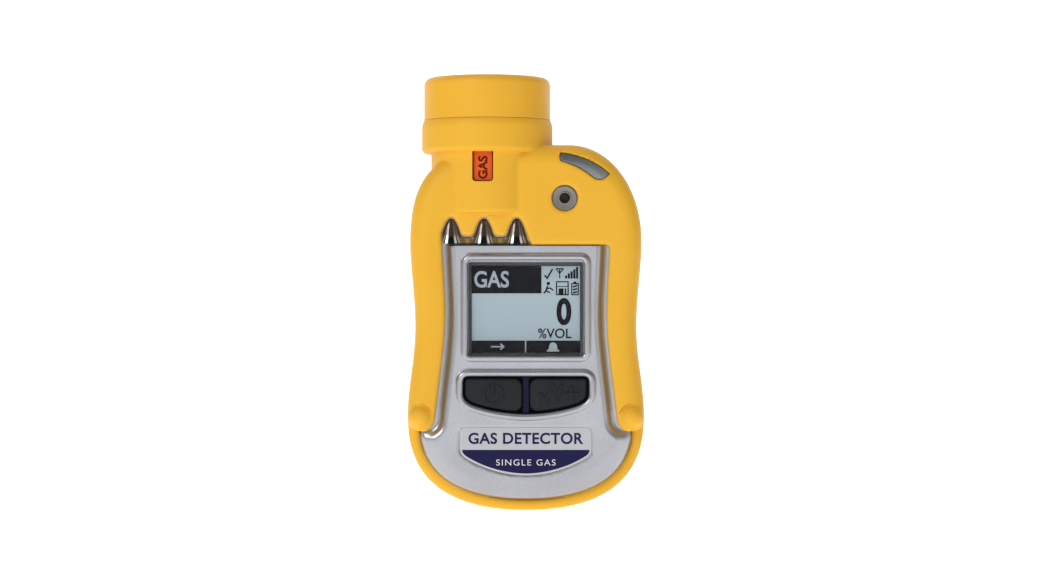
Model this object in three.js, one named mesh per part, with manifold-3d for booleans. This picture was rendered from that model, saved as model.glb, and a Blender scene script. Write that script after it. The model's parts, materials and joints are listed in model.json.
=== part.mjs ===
// A portable single-gas detector, worn on a belt or pocket: a clam-shell instrument in a
// rubber boot, with a screw-capped sensor neck, a display, two keys and a sprung clip.
// Millimetres. Seen from the front, x runs right and z up; y runs to the back.
// Depths are counted from the instrument's middle plane, and the whole is then shifted
// so that the origin lies under the middle of its bounding box.
import * as THREE from "three";
import { mergeVertices } from "three/addons/utils/BufferGeometryUtils.js";
import Module from "manifold-3d";

const wasm = await Module();
wasm.setup();

// ---- Driving sizes
const HALF_WIDTH = 31.2; // of the boot, at the lower swell
const WAIST = HALF_WIDTH - 2.05; // half width at the grip
const SHOULDER = HALF_WIDTH - 0.7; // half width at the shoulders
const BODY_TOP = 96.3; // top of the boot's shoulder
const BOOT_DEPTH = 13.3; // middle plane to the boot's front or back
const BOOT_WALL = 2.9; // at the sides
const BOOT_SKIN = 2.0; // at the front and back
const BOOT_ROUND = 5.0; // edge radius
const GAP = 0.3; // running gap between neighbours

const CASE_INSET = BOOT_WALL + GAP; // case outline inside the boot's
const CASE_WALL = 1.6;
const CASE_SIDE_Y = BOOT_DEPTH - BOOT_SKIN - GAP; // case face under the boot's skin
const CASE_FACE_Y = 12.6; // raised face in the front window
const CASE_PAD_Y = 12.8; // raised pad in the rear window
const CASE_ROUND = 4.5;
const SPLIT = 0.5; // case halves' faces to the middle plane, with the seal between
const INNER_Y = CASE_SIDE_Y - CASE_WALL; // inside faces of the case

const HEAD_X = -10.3; // axis of the sensor head
const NECK_R = 12.6;
const NECK_BORE_R = 11.0;
const NECK_Z = 84;
const NECK_TOP = 110.1;
const BOOT_NECK_R = 15;
const BULGE_Z = 78.3; // lower end of the boot's bulge over the neck
const COLLAR_R = 17.45;
const COLLAR_Z = 93.8;
const TAG_X0 = -13.9;
const TAG_X1 = -8.6;
const TAG_Z0 = 86.6;
const TAG_Z1 = 93.5;
const COLLAR_TOP = 103.2;
const CAP_R = 16.8;
const CAP_TOP = 114.5;
const CAP_BORE_R = 13.9;
const THREAD_PITCH = 3.0;
const THREAD_Z = 105.2; // middle of the neck's thread at its start

const LAMP_PITCH = 8.6;
const LAMP_XS = [-2.4, -2.4 - LAMP_PITCH, -2.4 - 2 * LAMP_PITCH]; // right to left
const LAMP_TIP_Z = 77.1;
const LAMP_VALLEY_Z = 72.2;
const WINDOW_TOP = 70; // of the boot's front window
const WINDOW_HALF = 22;

const SCREW_XZ = [
  [-16.8, 15.2],
  [16.8, 15.2],
  [-16.8, 77.2],
  [16.8, 77.2],
];
const BOSS_R = 2.9;
const SCREW_HOLE_R = 1.5;
const SCREW_R = 1.2;

const BOARD_Y = -4.6; // front face of the main board
const BOARD_T = 1.2;
const KEY_X = 8.6; // middle of each key
const KEY_Z = 31;
const KEY_BACK = 7.7; // depth of a key's inner face

const CLIP_AXIS_Y = 16.8;
const CLIP_AXIS_Z = 62;
const CLIP_SHEET = 1.0;
const BACKMOST = 22.75; // outer face of the clip's thumb pad

const CURVE_STEPS = 6; // points on each curve of an outline
const ROUND_STEPS = 2; // steps in a rounded edge

// ---- Solids
function solidOf(geometry) {
  const bare = new THREE.BufferGeometry();
  bare.setAttribute("position", geometry.getAttribute("position"));
  if (geometry.index) bare.setIndex(geometry.index);
  const merged = mergeVertices(bare, 1e-4);
  return new wasm.Manifold(
    new wasm.Mesh({
      numProp: 3,
      vertProperties: merged.attributes.position.array,
      triVerts: new Uint32Array(merged.index.array),
    }),
  );
}

function geometryOf(solid) {
  const mesh = solid.getMesh();
  const geometry = new THREE.BufferGeometry();
  geometry.setAttribute("position", new THREE.BufferAttribute(mesh.vertProperties, 3));
  geometry.setIndex(new THREE.BufferAttribute(mesh.triVerts, 1));
  geometry.computeVertexNormals();
  return geometry;
}

// An outline drawn as seen from the front, filled from depth y0 back to depth y1.
// round is the radius of both its edges.
function plate(shape, y0, y1, round = 0) {
  const geometry = new THREE.ExtrudeGeometry(shape, {
    depth: y1 - y0 - 2 * round,
    curveSegments: CURVE_STEPS,
    bevelEnabled: round > 0,
    bevelThickness: round,
    bevelSize: round,
    bevelOffset: -round,
    bevelSegments: ROUND_STEPS,
  });
  geometry.rotateX(Math.PI / 2);
  geometry.translate(0, y1 - round, 0);
  return solidOf(geometry);
}

function block(x0, x1, y0, y1, z0, z1) {
  const geometry = new THREE.BoxGeometry(x1 - x0, y1 - y0, z1 - z0);
  geometry.translate((x0 + x1) / 2, (y0 + y1) / 2, (z0 + z1) / 2);
  return solidOf(geometry);
}

// A profile of [radius, z] points, counter-clockwise, turned about the z axis.
function turned(profile, segments = 28) {
  const points = profile.map(([r, z]) => new THREE.Vector2(r, z));
  const geometry = new THREE.LatheGeometry(points, segments);
  geometry.rotateX(Math.PI / 2);
  return solidOf(geometry);
}

function rod(x, z, radius, y0, y1, segments = 12) {
  const geometry = new THREE.CylinderGeometry(radius, radius, y1 - y0, segments);
  geometry.translate(x, (y0 + y1) / 2, z);
  return solidOf(geometry);
}

function upright(x, y, radius, z0, z1, segments = 28) {
  const geometry = new THREE.CylinderGeometry(radius, radius, z1 - z0, segments);
  geometry.rotateX(Math.PI / 2);
  geometry.translate(x, y, (z0 + z1) / 2);
  return solidOf(geometry);
}

function crossbar(y, z, radius, x0, x1, segments = 12) {
  const geometry = new THREE.CylinderGeometry(radius, radius, x1 - x0, segments);
  geometry.rotateZ(Math.PI / 2);
  geometry.translate((x0 + x1) / 2, y, z);
  return solidOf(geometry);
}

function joined(solids) {
  return solids.reduce((all, solid) => all.add(solid));
}

function cut(solid, tools) {
  return tools.reduce((left, tool) => left.subtract(tool), solid);
}

// ---- Outlines
// Moves a closed outline inwards by distance, each point along the mean of its edges' normals.
function inset(path, distance) {
  const points = path.getPoints(CURVE_STEPS).filter((p, i, all) => {
    const next = all[(i + 1) % all.length];
    return p.distanceTo(next) > 1e-6;
  });
  const turn = THREE.ShapeUtils.isClockWise(points) ? -1 : 1;
  const moved = points.map((p, i) => {
    const before = points[(i + points.length - 1) % points.length];
    const after = points[(i + 1) % points.length];
    const a = p.clone().sub(before).normalize();
    const b = after.clone().sub(p).normalize();
    const normal = new THREE.Vector2(-a.y - b.y, a.x + b.x).normalize();
    const spread = Math.max(0.5, normal.dot(new THREE.Vector2(-a.y, a.x)));
    return p.clone().addScaledVector(normal, (turn * distance) / spread);
  });
  return new THREE.Shape(moved);
}

// The boot's silhouette below the sensor head.
function bodyOutline() {
  const path = new THREE.Shape();
  path.moveTo(0, 0);
  path.bezierCurveTo(20, 0, HALF_WIDTH, 7.5, HALF_WIDTH, 24.2);
  path.bezierCurveTo(HALF_WIDTH, 33, WAIST, 40, WAIST, 48.5);
  path.bezierCurveTo(WAIST, 56, SHOULDER, 64, SHOULDER, 71);
  path.bezierCurveTo(SHOULDER, 86, 23, BODY_TOP, 12, BODY_TOP);
  path.lineTo(-12, BODY_TOP);
  path.bezierCurveTo(-26, 93, -SHOULDER, 85.5, -SHOULDER, 71);
  path.bezierCurveTo(-SHOULDER, 64, -WAIST, 56, -WAIST, 48.5);
  path.bezierCurveTo(-WAIST, 40, -HALF_WIDTH, 33, -HALF_WIDTH, 24.2);
  path.bezierCurveTo(-HALF_WIDTH, 7.5, -20, 0, 0, 0);
  return path;
}

// The three pointed arches over the alarm lamps, from right to left, down to z = foot.
function addArches(path, foot) {
  const half = LAMP_PITCH / 2;
  LAMP_XS.forEach((x, i) => {
    const last = i === LAMP_XS.length - 1;
    const right = i === 0 ? foot : LAMP_VALLEY_Z;
    path.bezierCurveTo(x + 1.4, right, x + 1.2, LAMP_TIP_Z, x, LAMP_TIP_Z);
    if (last) path.bezierCurveTo(x - 1.2, LAMP_TIP_Z, x - 2.3, foot + 2, -WINDOW_HALF, foot);
    else path.bezierCurveTo(x - 1.2, LAMP_TIP_Z, x - 1.4, LAMP_VALLEY_Z, x - half, LAMP_VALLEY_Z);
  });
}

// The boot's front window: waisted sides, a foot at each lower corner, arches at the top left.
function windowOutline() {
  const path = new THREE.Shape();
  path.moveTo(0, 2.9);
  path.bezierCurveTo(17, 2.9, 27, 10.3, 27.6, 20.2);
  path.bezierCurveTo(25.5, 21, 24, 22, 23.8, 25);
  path.bezierCurveTo(22.9, 34, 21.2, 43, 21.2, 52);
  path.bezierCurveTo(21.2, 58, 21.8, 64, WINDOW_HALF, WINDOW_TOP);
  path.lineTo(LAMP_XS[0] + LAMP_PITCH / 2, WINDOW_TOP);
  addArches(path, WINDOW_TOP);
  path.bezierCurveTo(-21.8, 64, -21.2, 58, -21.2, 52);
  path.bezierCurveTo(-21.2, 43, -22.9, 34, -23.8, 25);
  path.bezierCurveTo(-24, 22, -25.5, 21, -27.6, 20.2);
  path.bezierCurveTo(-27, 10.3, -17, 2.9, 0, 2.9);
  return path;
}

// The raised face between the boot's rails; below the feet it runs out past the case's edge.
function faceOutline() {
  const path = new THREE.Shape();
  path.moveTo(-36, -6);
  path.lineTo(36, -6);
  path.lineTo(36, 18.6);
  path.lineTo(25, 18.8);
  path.bezierCurveTo(23, 19, 21.9, 20.6, 21.7, 23.4);
  path.bezierCurveTo(20.9, 34, 19.1, 43, 19.1, 52);
  path.bezierCurveTo(19.1, 58, 19.7, 64, 19.9, WINDOW_TOP - GAP);
  path.lineTo(-19.9, WINDOW_TOP - GAP);
  path.bezierCurveTo(-19.7, 64, -19.1, 58, -19.1, 52);
  path.bezierCurveTo(-19.1, 43, -20.9, 34, -21.7, 23.4);
  path.bezierCurveTo(-21.9, 20.6, -23, 19, -25, 18.8);
  path.lineTo(-36, 18.6);
  path.closePath();
  return path;
}

// The points of a quarter turn of an arc that starts at the given number of quarter turns.
function corner(x, z, radius, quarter) {
  return [0, 1 / 3, 2 / 3, 1].map((share) => {
    const angle = ((quarter + share) * Math.PI) / 2;
    return new THREE.Vector2(x + radius * Math.cos(angle), z + radius * Math.sin(angle));
  });
}

// A rectangle with rounded corners.
function roundedBox(x0, x1, z0, z1, radius) {
  return new THREE.Shape([
    ...corner(x1 - radius, z0 + radius, radius, 3),
    ...corner(x1 - radius, z1 - radius, radius, 0),
    ...corner(x0 + radius, z1 - radius, radius, 1),
    ...corner(x0 + radius, z0 + radius, radius, 2),
  ]);
}

// The key recess: straight on top, bowed below.
function keyRecess() {
  const path = new THREE.Shape();
  path.moveTo(0, 25.6);
  path.bezierCurveTo(4.5, 25.6, 9.5, 26.4, 13.8, 27.9);
  path.bezierCurveTo(15.5, 28.5, 16.5, 29.2, 16.5, 31);
  path.lineTo(16.5, 33.9);
  path.absarc(15, 33.9, 1.5, 0, Math.PI / 2);
  path.absarc(-15, 33.9, 1.5, Math.PI / 2, Math.PI);
  path.lineTo(-16.5, 31);
  path.bezierCurveTo(-16.5, 29.2, -15.5, 28.5, -13.8, 27.9);
  path.bezierCurveTo(-9.5, 26.4, -4.5, 25.6, 0, 25.6);
  return path;
}

// The crescent lens that follows the curve of the right shoulder.
function crescentOutline() {
  const path = new THREE.Shape();
  path.moveTo(9, 92.3);
  path.bezierCurveTo(13.5, 91.2, 18, 88.7, 19.9, 85.9);
  path.bezierCurveTo(20.8, 86, 22, 88, 22.3, 89);
  path.bezierCurveTo(18.5, 92.3, 14, 94.2, 9, 94.8);
  path.closePath();
  return path;
}

function nameplateOutline() {
  const path = new THREE.Shape();
  path.moveTo(0, 9.5);
  path.bezierCurveTo(5, 9.5, 11, 11, 15.9, 14.1);
  path.quadraticCurveTo(17.2, 15, 17.2, 16.3);
  path.lineTo(17.2, 20.7);
  path.absarc(15.9, 20.7, 1.3, 0, Math.PI / 2);
  path.absarc(-15.9, 20.7, 1.3, Math.PI / 2, Math.PI);
  path.lineTo(-17.2, 16.3);
  path.quadraticCurveTo(-17.2, 15, -15.9, 14.1);
  path.bezierCurveTo(-11, 11, -5, 9.5, 0, 9.5);
  return path;
}

// ---- Boot
// The room left in the boot and the case for the neck and the flange at its foot.
function neckRoom() {
  const hole = upright(HEAD_X, 0, NECK_R + GAP, NECK_Z + 2, CAP_TOP);
  return hole.add(upright(HEAD_X, 0, NECK_R + 1 + GAP, NECK_Z - GAP, NECK_Z + 2 + GAP));
}

function rubberBoot() {
  const side = bodyOutline();
  const outer = joined([
    plate(side, -BOOT_DEPTH, BOOT_DEPTH, BOOT_ROUND),
    upright(HEAD_X, 0, BOOT_NECK_R, BULGE_Z, COLLAR_Z + 1),
    turned([
      [0, COLLAR_Z],
      [COLLAR_R - 1.5, COLLAR_Z],
      [COLLAR_R - 0.4, COLLAR_Z + 0.5],
      [COLLAR_R, COLLAR_Z + 1.6],
      [COLLAR_R, COLLAR_TOP - 1],
      [COLLAR_R - 0.5, COLLAR_TOP],
      [0, COLLAR_TOP],
    ]).translate([HEAD_X, 0, 0]),
  ]);
  const bumps = [-1, 1].map((sign) => {
    const ball = new THREE.SphereGeometry(3.6, 12, 7);
    ball.translate(sign * 27.4, -BOOT_DEPTH + 2.9, 24.7);
    return solidOf(ball);
  });
  const skin = BOOT_DEPTH - BOOT_SKIN;
  const around = [inset(side, BOOT_WALL), -CASE_FACE_Y - GAP, CASE_PAD_Y + GAP, CASE_ROUND + GAP];
  const cavity = plate(...around).intersect(block(-40, 40, -skin, skin, -10, 120));
  return cut(joined([outer, ...bumps]), [
    cavity,
    neckRoom(),
    plate(windowOutline(), -20, 0),
    block(-40, 40, -20, -9, -10, 20.2),
    plate(rearWindow(), 0, 16),
    plate(crescentOutline(), -20, -9.2),
    rod(10.2, 82.2, 3.5, -20, -8, 24),
    plate(roundedBox(TAG_X0, TAG_X1, TAG_Z0, TAG_Z1, 0.6), -20, -8),
  ]);
}

function rearWindow() {
  return roundedBox(-20.8, 20.8, 9.2, 83.2, 6);
}

// ---- Case
function caseSolid(insetBy, faceY, backY, round) {
  return plate(inset(bodyOutline(), insetBy), -faceY, backY, round);
}

function frontCase() {
  const hollow = caseSolid(CASE_INSET + CASE_WALL, INNER_Y, INNER_Y, CASE_ROUND - CASE_WALL);
  const beside = cut(block(-40, 40, -20, -CASE_SIDE_Y, -10, 110), [plate(faceOutline(), -21, 0)]);
  const recess = keyRecess();
  const rims = [
    plate(roundedBox(-16.9, 16.9, 39.7, 67.3, 1.6), -CASE_FACE_Y - 0.5, -CASE_FACE_Y + 1),
    plate(inset(recess, -1.3), -CASE_FACE_Y - 0.6, -CASE_FACE_Y + 1),
  ];
  const bosses = SCREW_XZ.map(([x, z]) => rod(x, z, BOSS_R, -INNER_Y - 0.4, -SPLIT, 16));
  const shell = cut(caseSolid(CASE_INSET, CASE_FACE_Y, 6, CASE_ROUND), [hollow, beside]);
  return cut(joined([shell, ...rims, ...bosses]), [
    block(-40, 40, -SPLIT, 20, -10, 120),
    neckRoom(),
    plate(roundedBox(-15.2, 15.2, 40.8, 65.9, 0.9), -20, -11.1),
    plate(roundedBox(-14.5, 14.5, 41.3, 64.7, 0.4), -20, -8),
    plate(recess, -20, -8),
    plate(inset(crescentOutline(), -0.1), -20, -8.9),
    rod(10.2, 82.2, 1.5, -20, -8),
    ...LAMP_XS.map((x) => rod(x, 72.6, 1.3, -20, -8, 12)),
    ...SCREW_XZ.map(([x, z]) => rod(x, z, SCREW_HOLE_R, -7.5, 1)),
  ]);
}

function rearCase() {
  const hollow = caseSolid(CASE_INSET + CASE_WALL, INNER_Y, INNER_Y, CASE_ROUND - CASE_WALL);
  const pad = inset(rearWindow(), GAP + 0.1);
  const beside = cut(block(-40, 40, CASE_SIDE_Y, 20, -10, 120), [plate(pad, 0, 21)]);
  const bosses = SCREW_XZ.map(([x, z]) => rod(x, z, BOSS_R, SPLIT, INNER_Y + 0.4, 16));
  const shell = cut(caseSolid(CASE_INSET, 6, CASE_PAD_Y, CASE_ROUND), [hollow, beside]);
  return cut(joined([shell, ...bosses]), [
    block(-40, 40, -20, SPLIT, -10, 120),
    neckRoom(),
    ...SCREW_XZ.map(([x, z]) => rod(x, z, SCREW_HOLE_R, -1, 16)),
    ...SCREW_XZ.map(([x, z]) => rod(x, z, 2.7, 11.4, 20, 16)),
    rod(0, CLIP_AXIS_Z + 8, 1.6, 0, 16),
    ...[-6, 0, 6].map((x) => rod(x, 15, 1.8, 0, 16)),
  ]);
}

function caseSeal() {
  const half = SPLIT - 0.25;
  return cut(plate(inset(bodyOutline(), CASE_INSET + 0.2), -half, half), [
    plate(inset(bodyOutline(), CASE_INSET + CASE_WALL - 0.2), -1, 1),
    upright(HEAD_X, 0, NECK_R + 1 + GAP, NECK_Z - GAP, CAP_TOP),
  ]);
}

function screw(headRadius, headHeight, radius, length) {
  const body = joined([
    rod(0, 0, headRadius, 0, headHeight, 16),
    rod(0, 0, radius, -length, 0.1, 12),
  ]);
  return cut(body, [rod(0, 0, headRadius * 0.5, headHeight * 0.4, headHeight + 1, 6)]);
}

// ---- Display and keys
function displayModule() {
  return joined([
    block(-14.2, 14.2, -10.9, -9, 41.6, 64.4),
    block(-16, 16, -INNER_Y + GAP, -7, 38.2, 67.8),
  ]);
}

function keySide(sign, grow) {
  const side = sign * (1 - grow);
  const keep = plate(inset(keyRecess(), 0.55 - grow), -30, 30);
  return keep.subtract(sign > 0 ? block(-30, side, -40, 40, 0, 60) : block(side, 30, -40, 40, 0, 60));
}

function key(sign) {
  const cap = keySide(sign, 0).intersect(block(-30, 30, -12.9, -8.3, 0, 60));
  const flange = keySide(sign, 0.5).intersect(block(-30, 30, -8.4, -KEY_BACK, 0, 60));
  const post = rod(sign * KEY_X, KEY_Z, 1.4, -KEY_BACK - 0.1, -7.25, 12);
  return joined([cap, flange, post]);
}

function keypadFrame() {
  const frame = joined([
    plate(inset(keyRecess(), 0.25), -11.6, -INNER_Y + GAP),
    plate(inset(keyRecess(), -1.2), -INNER_Y + GAP, -8.7),
  ]);
  return cut(frame, [keySide(-1, 0.25), keySide(1, 0.25)]);
}

function switchBody(sign) {
  const body = block(-3, 3, -6.2, BOARD_Y - GAP, -3, 3);
  return cut(body, [rod(0, 0, 1.2, -7, -5.1, 12)]).translate([sign * KEY_X, 0, KEY_Z]);
}

// ---- Alarm lights and sounder
function lampBar() {
  const path = new THREE.Shape();
  const foot = WINDOW_TOP + GAP;
  path.moveTo(LAMP_XS[0] + LAMP_PITCH / 2 - 0.8, foot);
  addArches(path, foot);
  path.closePath();
  const seat = -CASE_SIDE_Y - GAP;
  const base = plate(inset(path, GAP), seat - 0.8, seat);
  const domes = LAMP_XS.map((x) =>
    turned(
      [
        [0, foot + GAP],
        [1.35, foot + GAP],
        [1.3, 73],
        [0.95, 75],
        [0, 76.3],
      ],
      10,
    ).translate([x, -11.5, 0]),
  );
  return joined([base, ...domes]).intersect(block(-40, 10, -20, seat, 60, 90));
}

function shoulderLens() {
  const shoulder = plate(inset(bodyOutline(), 0.4), -BOOT_DEPTH + 0.4, 6, BOOT_ROUND);
  return shoulder.intersect(plate(inset(crescentOutline(), GAP), -20, -9.5));
}

function sounderRing() {
  return cut(rod(10.2, 82.2, 3.2, -12.9, -CASE_SIDE_Y - GAP, 24), [rod(10.2, 82.2, 1.4, -20, 0)]);
}

// ---- Sensor head, about its own axis
// A ridge of trapezoid section wound as a right-handed helix.
function threadRidge(rootR, crestR, z0, turns) {
  const perTurn = 20;
  const steps = Math.round(turns * perTurn);
  const section = [
    [rootR, -0.65],
    [crestR, -0.35],
    [crestR, 0.35],
    [rootR, 0.65],
  ];
  if (crestR < rootR) section.reverse();
  const places = [];
  for (let i = 0; i <= steps; i++) {
    const angle = (2 * Math.PI * i) / perTurn;
    for (const [r, dz] of section) {
      const z = z0 + dz + (THREAD_PITCH * i) / perTurn;
      places.push(r * Math.cos(angle), r * Math.sin(angle), z);
    }
  }
  const faces = [0, 1, 2, 0, 2, 3];
  for (let i = 0; i < steps; i++) {
    for (let k = 0; k < 4; k++) {
      const a = 4 * i + k;
      const b = 4 * i + ((k + 1) % 4);
      faces.push(a, a + 4, b, b, a + 4, b + 4);
    }
  }
  const last = 4 * steps;
  faces.push(last, last + 2, last + 1, last, last + 3, last + 2);
  const geometry = new THREE.BufferGeometry();
  geometry.setAttribute("position", new THREE.Float32BufferAttribute(places, 3));
  geometry.setIndex(faces);
  return solidOf(geometry);
}

function sensorNeck() {
  const tube = turned([
    [NECK_BORE_R, NECK_Z],
    [NECK_R + 1, NECK_Z],
    [NECK_R + 1, NECK_Z + 2],
    [NECK_R, NECK_Z + 2],
    [NECK_R, NECK_TOP],
    [NECK_BORE_R, NECK_TOP],
    [NECK_BORE_R, NECK_Z + 3.8],
    [4.5, NECK_Z + 3.8],
    [4.5, NECK_Z + 2.4],
    [NECK_BORE_R, NECK_Z + 2.4],
    [NECK_BORE_R, NECK_Z],
  ]);
  return tube.add(threadRidge(NECK_R - 0.3, NECK_R + 0.9, THREAD_Z, 1.25));
}

function sensorCap() {
  const ceiling = CAP_TOP - 2.1;
  const shell = turned([
    [CAP_BORE_R, COLLAR_TOP + GAP],
    [CAP_R, COLLAR_TOP + GAP],
    [CAP_R, CAP_TOP - 2.2],
    [CAP_R - 0.7, CAP_TOP - 0.7],
    [CAP_R - 2.2, CAP_TOP],
    [9.3, CAP_TOP],
    [8.8, CAP_TOP - 0.6],
    [0, CAP_TOP - 0.6],
    [0, ceiling],
    [CAP_BORE_R, ceiling],
    [CAP_BORE_R, COLLAR_TOP + GAP],
  ]);
  const ridge = threadRidge(CAP_BORE_R + 0.3, CAP_BORE_R - 0.9, THREAD_Z + THREAD_PITCH / 2, 1);
  const holes = [upright(0, 0, 1.3, 100, 120, 10)];
  for (let i = 0; i < 6; i++) {
    const angle = (i * Math.PI) / 3;
    holes.push(upright(5 * Math.cos(angle), 5 * Math.sin(angle), 1.3, 100, 120, 10));
  }
  return cut(shell.add(ridge), holes);
}

function ring(innerR, outerR, z0, z1) {
  return turned([
    [innerR, z0],
    [outerR, z0],
    [outerR, z1],
    [innerR, z1],
    [innerR, z0],
  ]);
}

function sensorTag() {
  const tile = plate(roundedBox(TAG_X0 + 0.2, TAG_X1 - 0.2, TAG_Z0 + 0.2, TAG_Z1 - 0.2, 0.5), -20, 0);
  return ring(NECK_R + GAP, 14.4, 80, 100).translate([HEAD_X, 0, 0]).intersect(tile);
}

// ---- Clip, about its hinge axis
// A section of [y, z] points carried across from x0 to x1.
function crossSection(points, x0, x1) {
  const shape = new THREE.Shape(points.map(([y, z]) => new THREE.Vector2(y, z)));
  const geometry = new THREE.ExtrudeGeometry(shape, { depth: x1 - x0, bevelEnabled: false });
  const turn = new THREE.Matrix4();
  turn.set(0, 0, 1, x0, 1, 0, 0, 0, 0, 1, 0, 0, 0, 0, 0, 1);
  return solidOf(geometry.applyMatrix4(turn));
}

// A pair of pierced ears between x0 and x1 on either side, reaching from the pin to depth y.
function ears(x0, x1, y) {
  const ear = (a, b) =>
    crossbar(0, 0, 2.3, a, b, 16).add(block(a, b, Math.min(0, y), Math.max(0, y), -2.3, 2.3));
  return ear(-x1, -x0).add(ear(x0, x1));
}

function clipBase() {
  const seat = CASE_PAD_Y + GAP - CLIP_AXIS_Y;
  const top = seat + CLIP_SHEET;
  const sheet = plate(roundedBox(-8, 8, -23.6, 14.6, 2), seat, top);
  return cut(sheet.add(ears(7, 8, top - 0.5)), [
    crossbar(0, 0, 1.3, -20, 16),
    rod(0, 8, 1.8, -20, 16),
  ]);
}

function clipLever() {
  const outer = BACKMOST - CLIP_AXIS_Y;
  const section = [
    [3, -16],
    [-2.4, -22.2],
    [-2.4, -23.6],
    [-1.6, -23.6],
    [4, -16.6],
    [4, 3.5],
    [outer, 15.6],
    [outer - 0.4, 16.4],
    [outer - 1.1, 16],
    [3, 3.7],
  ];
  const sheet = crossSection(section, -6.4, 6.4);
  return cut(sheet.add(ears(5.4, 6.4, 3.5)), [crossbar(0, 0, 1.3, -20, 16)]);
}

function clipPin() {
  return joined([
    crossbar(0, 0, 1, -8.5, 8.5),
    crossbar(0, 0, 1.7, -9.1, -8.3),
    crossbar(0, 0, 1.7, 8.3, 9.1),
  ]);
}

// The torsion spring's wire: down a leg that lies on the base, round the pin, and up
// a leg that lies under the thumb pad.
class SpringWire extends THREE.Curve {
  getPoint(t) {
    const turns = 4.5;
    const radius = 1.95;
    const leg = 0.11; // share of the wire's length in each leg
    const u = THREE.MathUtils.clamp((t - leg) / (1 - 2 * leg), 0, 1);
    const angle = Math.PI + 2 * Math.PI * turns * u;
    const point = new THREE.Vector3(8 * u - 4, radius * Math.cos(angle), radius * Math.sin(angle));
    if (t < leg) point.z += 7.8 * (1 - t / leg);
    const out = Math.max(0, (t - 1 + leg) / leg);
    point.z += 7.8 * out;
    point.y += 0.9 * out * out;
    return point;
  }
}

function clipSpring() {
  const wire = new THREE.Shape();
  wire.absarc(0, 0, 0.4, 0, 2 * Math.PI);
  const extrudePath = new SpringWire();
  const settings = { curveSegments: 3, steps: 60, extrudePath, bevelEnabled: false };
  return solidOf(new THREE.ExtrudeGeometry(wire, settings));
}

function clipScrew() {
  const body = rod(0, 8, 2.6, -2.4, -1.6, 16).add(rod(0, 8, 1.3, -8.5, -2.3, 12));
  return cut(body, [rod(0, 8, 1.1, -2.1, 0, 6)]);
}

// ---- Inside the case
function mainBoard() {
  const outline = inset(bodyOutline(), CASE_INSET + CASE_WALL + 0.8);
  return cut(plate(outline, BOARD_Y, BOARD_Y + BOARD_T), [
    upright(HEAD_X, 0, NECK_R + 1.6, NECK_Z - 0.8, CAP_TOP),
    block(-40, HEAD_X, -10, 10, NECK_Z - 0.8, CAP_TOP),
    ...SCREW_XZ.map(([x, z]) => rod(x, z, BOSS_R + 0.4, -20, 20, 16)),
  ]);
}

function lamp(x, z, y0) {
  return joined([
    rod(x, z, 0.95, y0, -7.5, 8),
    rod(x, z, 1.4, -8.2, -7.5, 8),
    rod(x - 0.7, z, 0.25, -7.6, BOARD_Y - GAP, 4),
    rod(x + 0.7, z, 0.25, -7.6, BOARD_Y - GAP, 4),
  ]);
}

function batteryPack() {
  return plate(roundedBox(-17, 17, 21, 60, 1.5), -2.6, 7.4, 1.2);
}

function vibrationWeight() {
  const whole = crossbar(0, 0, 2.5, 8.9, 12.4, 16);
  const half = cut(whole, [block(8, 14, -4, 4, 0.9, 4)]);
  return half.add(crossbar(0, 0, 0.5, 8.3, 9, 8));
}

function sensorModule() {
  return turned([
    [0, 92.4],
    [10.1, 92.4],
    [10.1, 108.7],
    [9.6, 109.3],
    [7.6, 109.3],
    [7.6, 108.5],
    [0, 108.5],
  ]);
}

// ---- Assembly
const instrument = new THREE.Group();
instrument.name = "gas_detector";
// Shifts the bounding box's middle on to y = 0.
instrument.position.set(0, (COLLAR_R - BACKMOST) / 2, 0);

function addPart(name, solid, color, metalness = 0, roughness = 0.6) {
  const material = new THREE.MeshStandardMaterial({ color, metalness, roughness });
  const part = new THREE.Mesh(geometryOf(solid), material);
  part.name = name;
  instrument.add(part);
}

const YELLOW = 0xe8b840;
const SILVER = 0xa5aab0;
const BLACK = 0x24272c;
const STEEL = 0xc2c5c9;
const GOLD = 0xd8b45a;
const GREEN = 0x1f5a38;
const onHead = (solid) => solid.translate([HEAD_X, 0, 0]);
const onClip = (solid) => solid.translate([0, CLIP_AXIS_Y, CLIP_AXIS_Z]);

addPart("rubber_boot", rubberBoot(), YELLOW, 0, 0.7);
addPart("front_case", frontCase(), SILVER, 0.4, 0.5);
addPart("rear_case", rearCase(), SILVER, 0.4, 0.5);
addPart("case_seal", caseSeal(), 0x303236, 0, 0.8);
SCREW_XZ.forEach(([x, z], i) => {
  const body = screw(2.4, 1.1, SCREW_R, 18).translate([x, 11.4 + GAP, z]);
  addPart(`case_screw_${i + 1}`, body, STEEL, 1, 0.35);
});

const pane = plate(roundedBox(-14.9, 14.9, 41.1, 65.6, 0.7), -12.2, -11.4);
addPart("display_window", pane, 0xdfe6ea, 0, 0.08);
addPart("display_module", displayModule(), 0xa5b4be, 0, 0.3);
addPart("backlight_panel", block(-15.6, 15.6, -6.7, -6, 38.6, 67.4), 0xe8ecef);
addPart("nameplate", plate(nameplateOutline(), -13.1, -12.85), 0x0a0a46);

addPart("keypad_frame", keypadFrame(), 0x15171c);
addPart("power_key", key(-1), BLACK, 0, 0.8);
addPart("select_key", key(1), BLACK, 0, 0.8);
for (const [name, sign] of [
  ["power", -1],
  ["select", 1],
]) {
  addPart(`${name}_switch`, switchBody(sign), BLACK, 0.2, 0.5);
  const stem = rod(sign * KEY_X, KEY_Z, 0.9, -6.95, -5.95, 12);
  addPart(`${name}_switch_stem`, stem, 0xe8e2d2);
}

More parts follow.
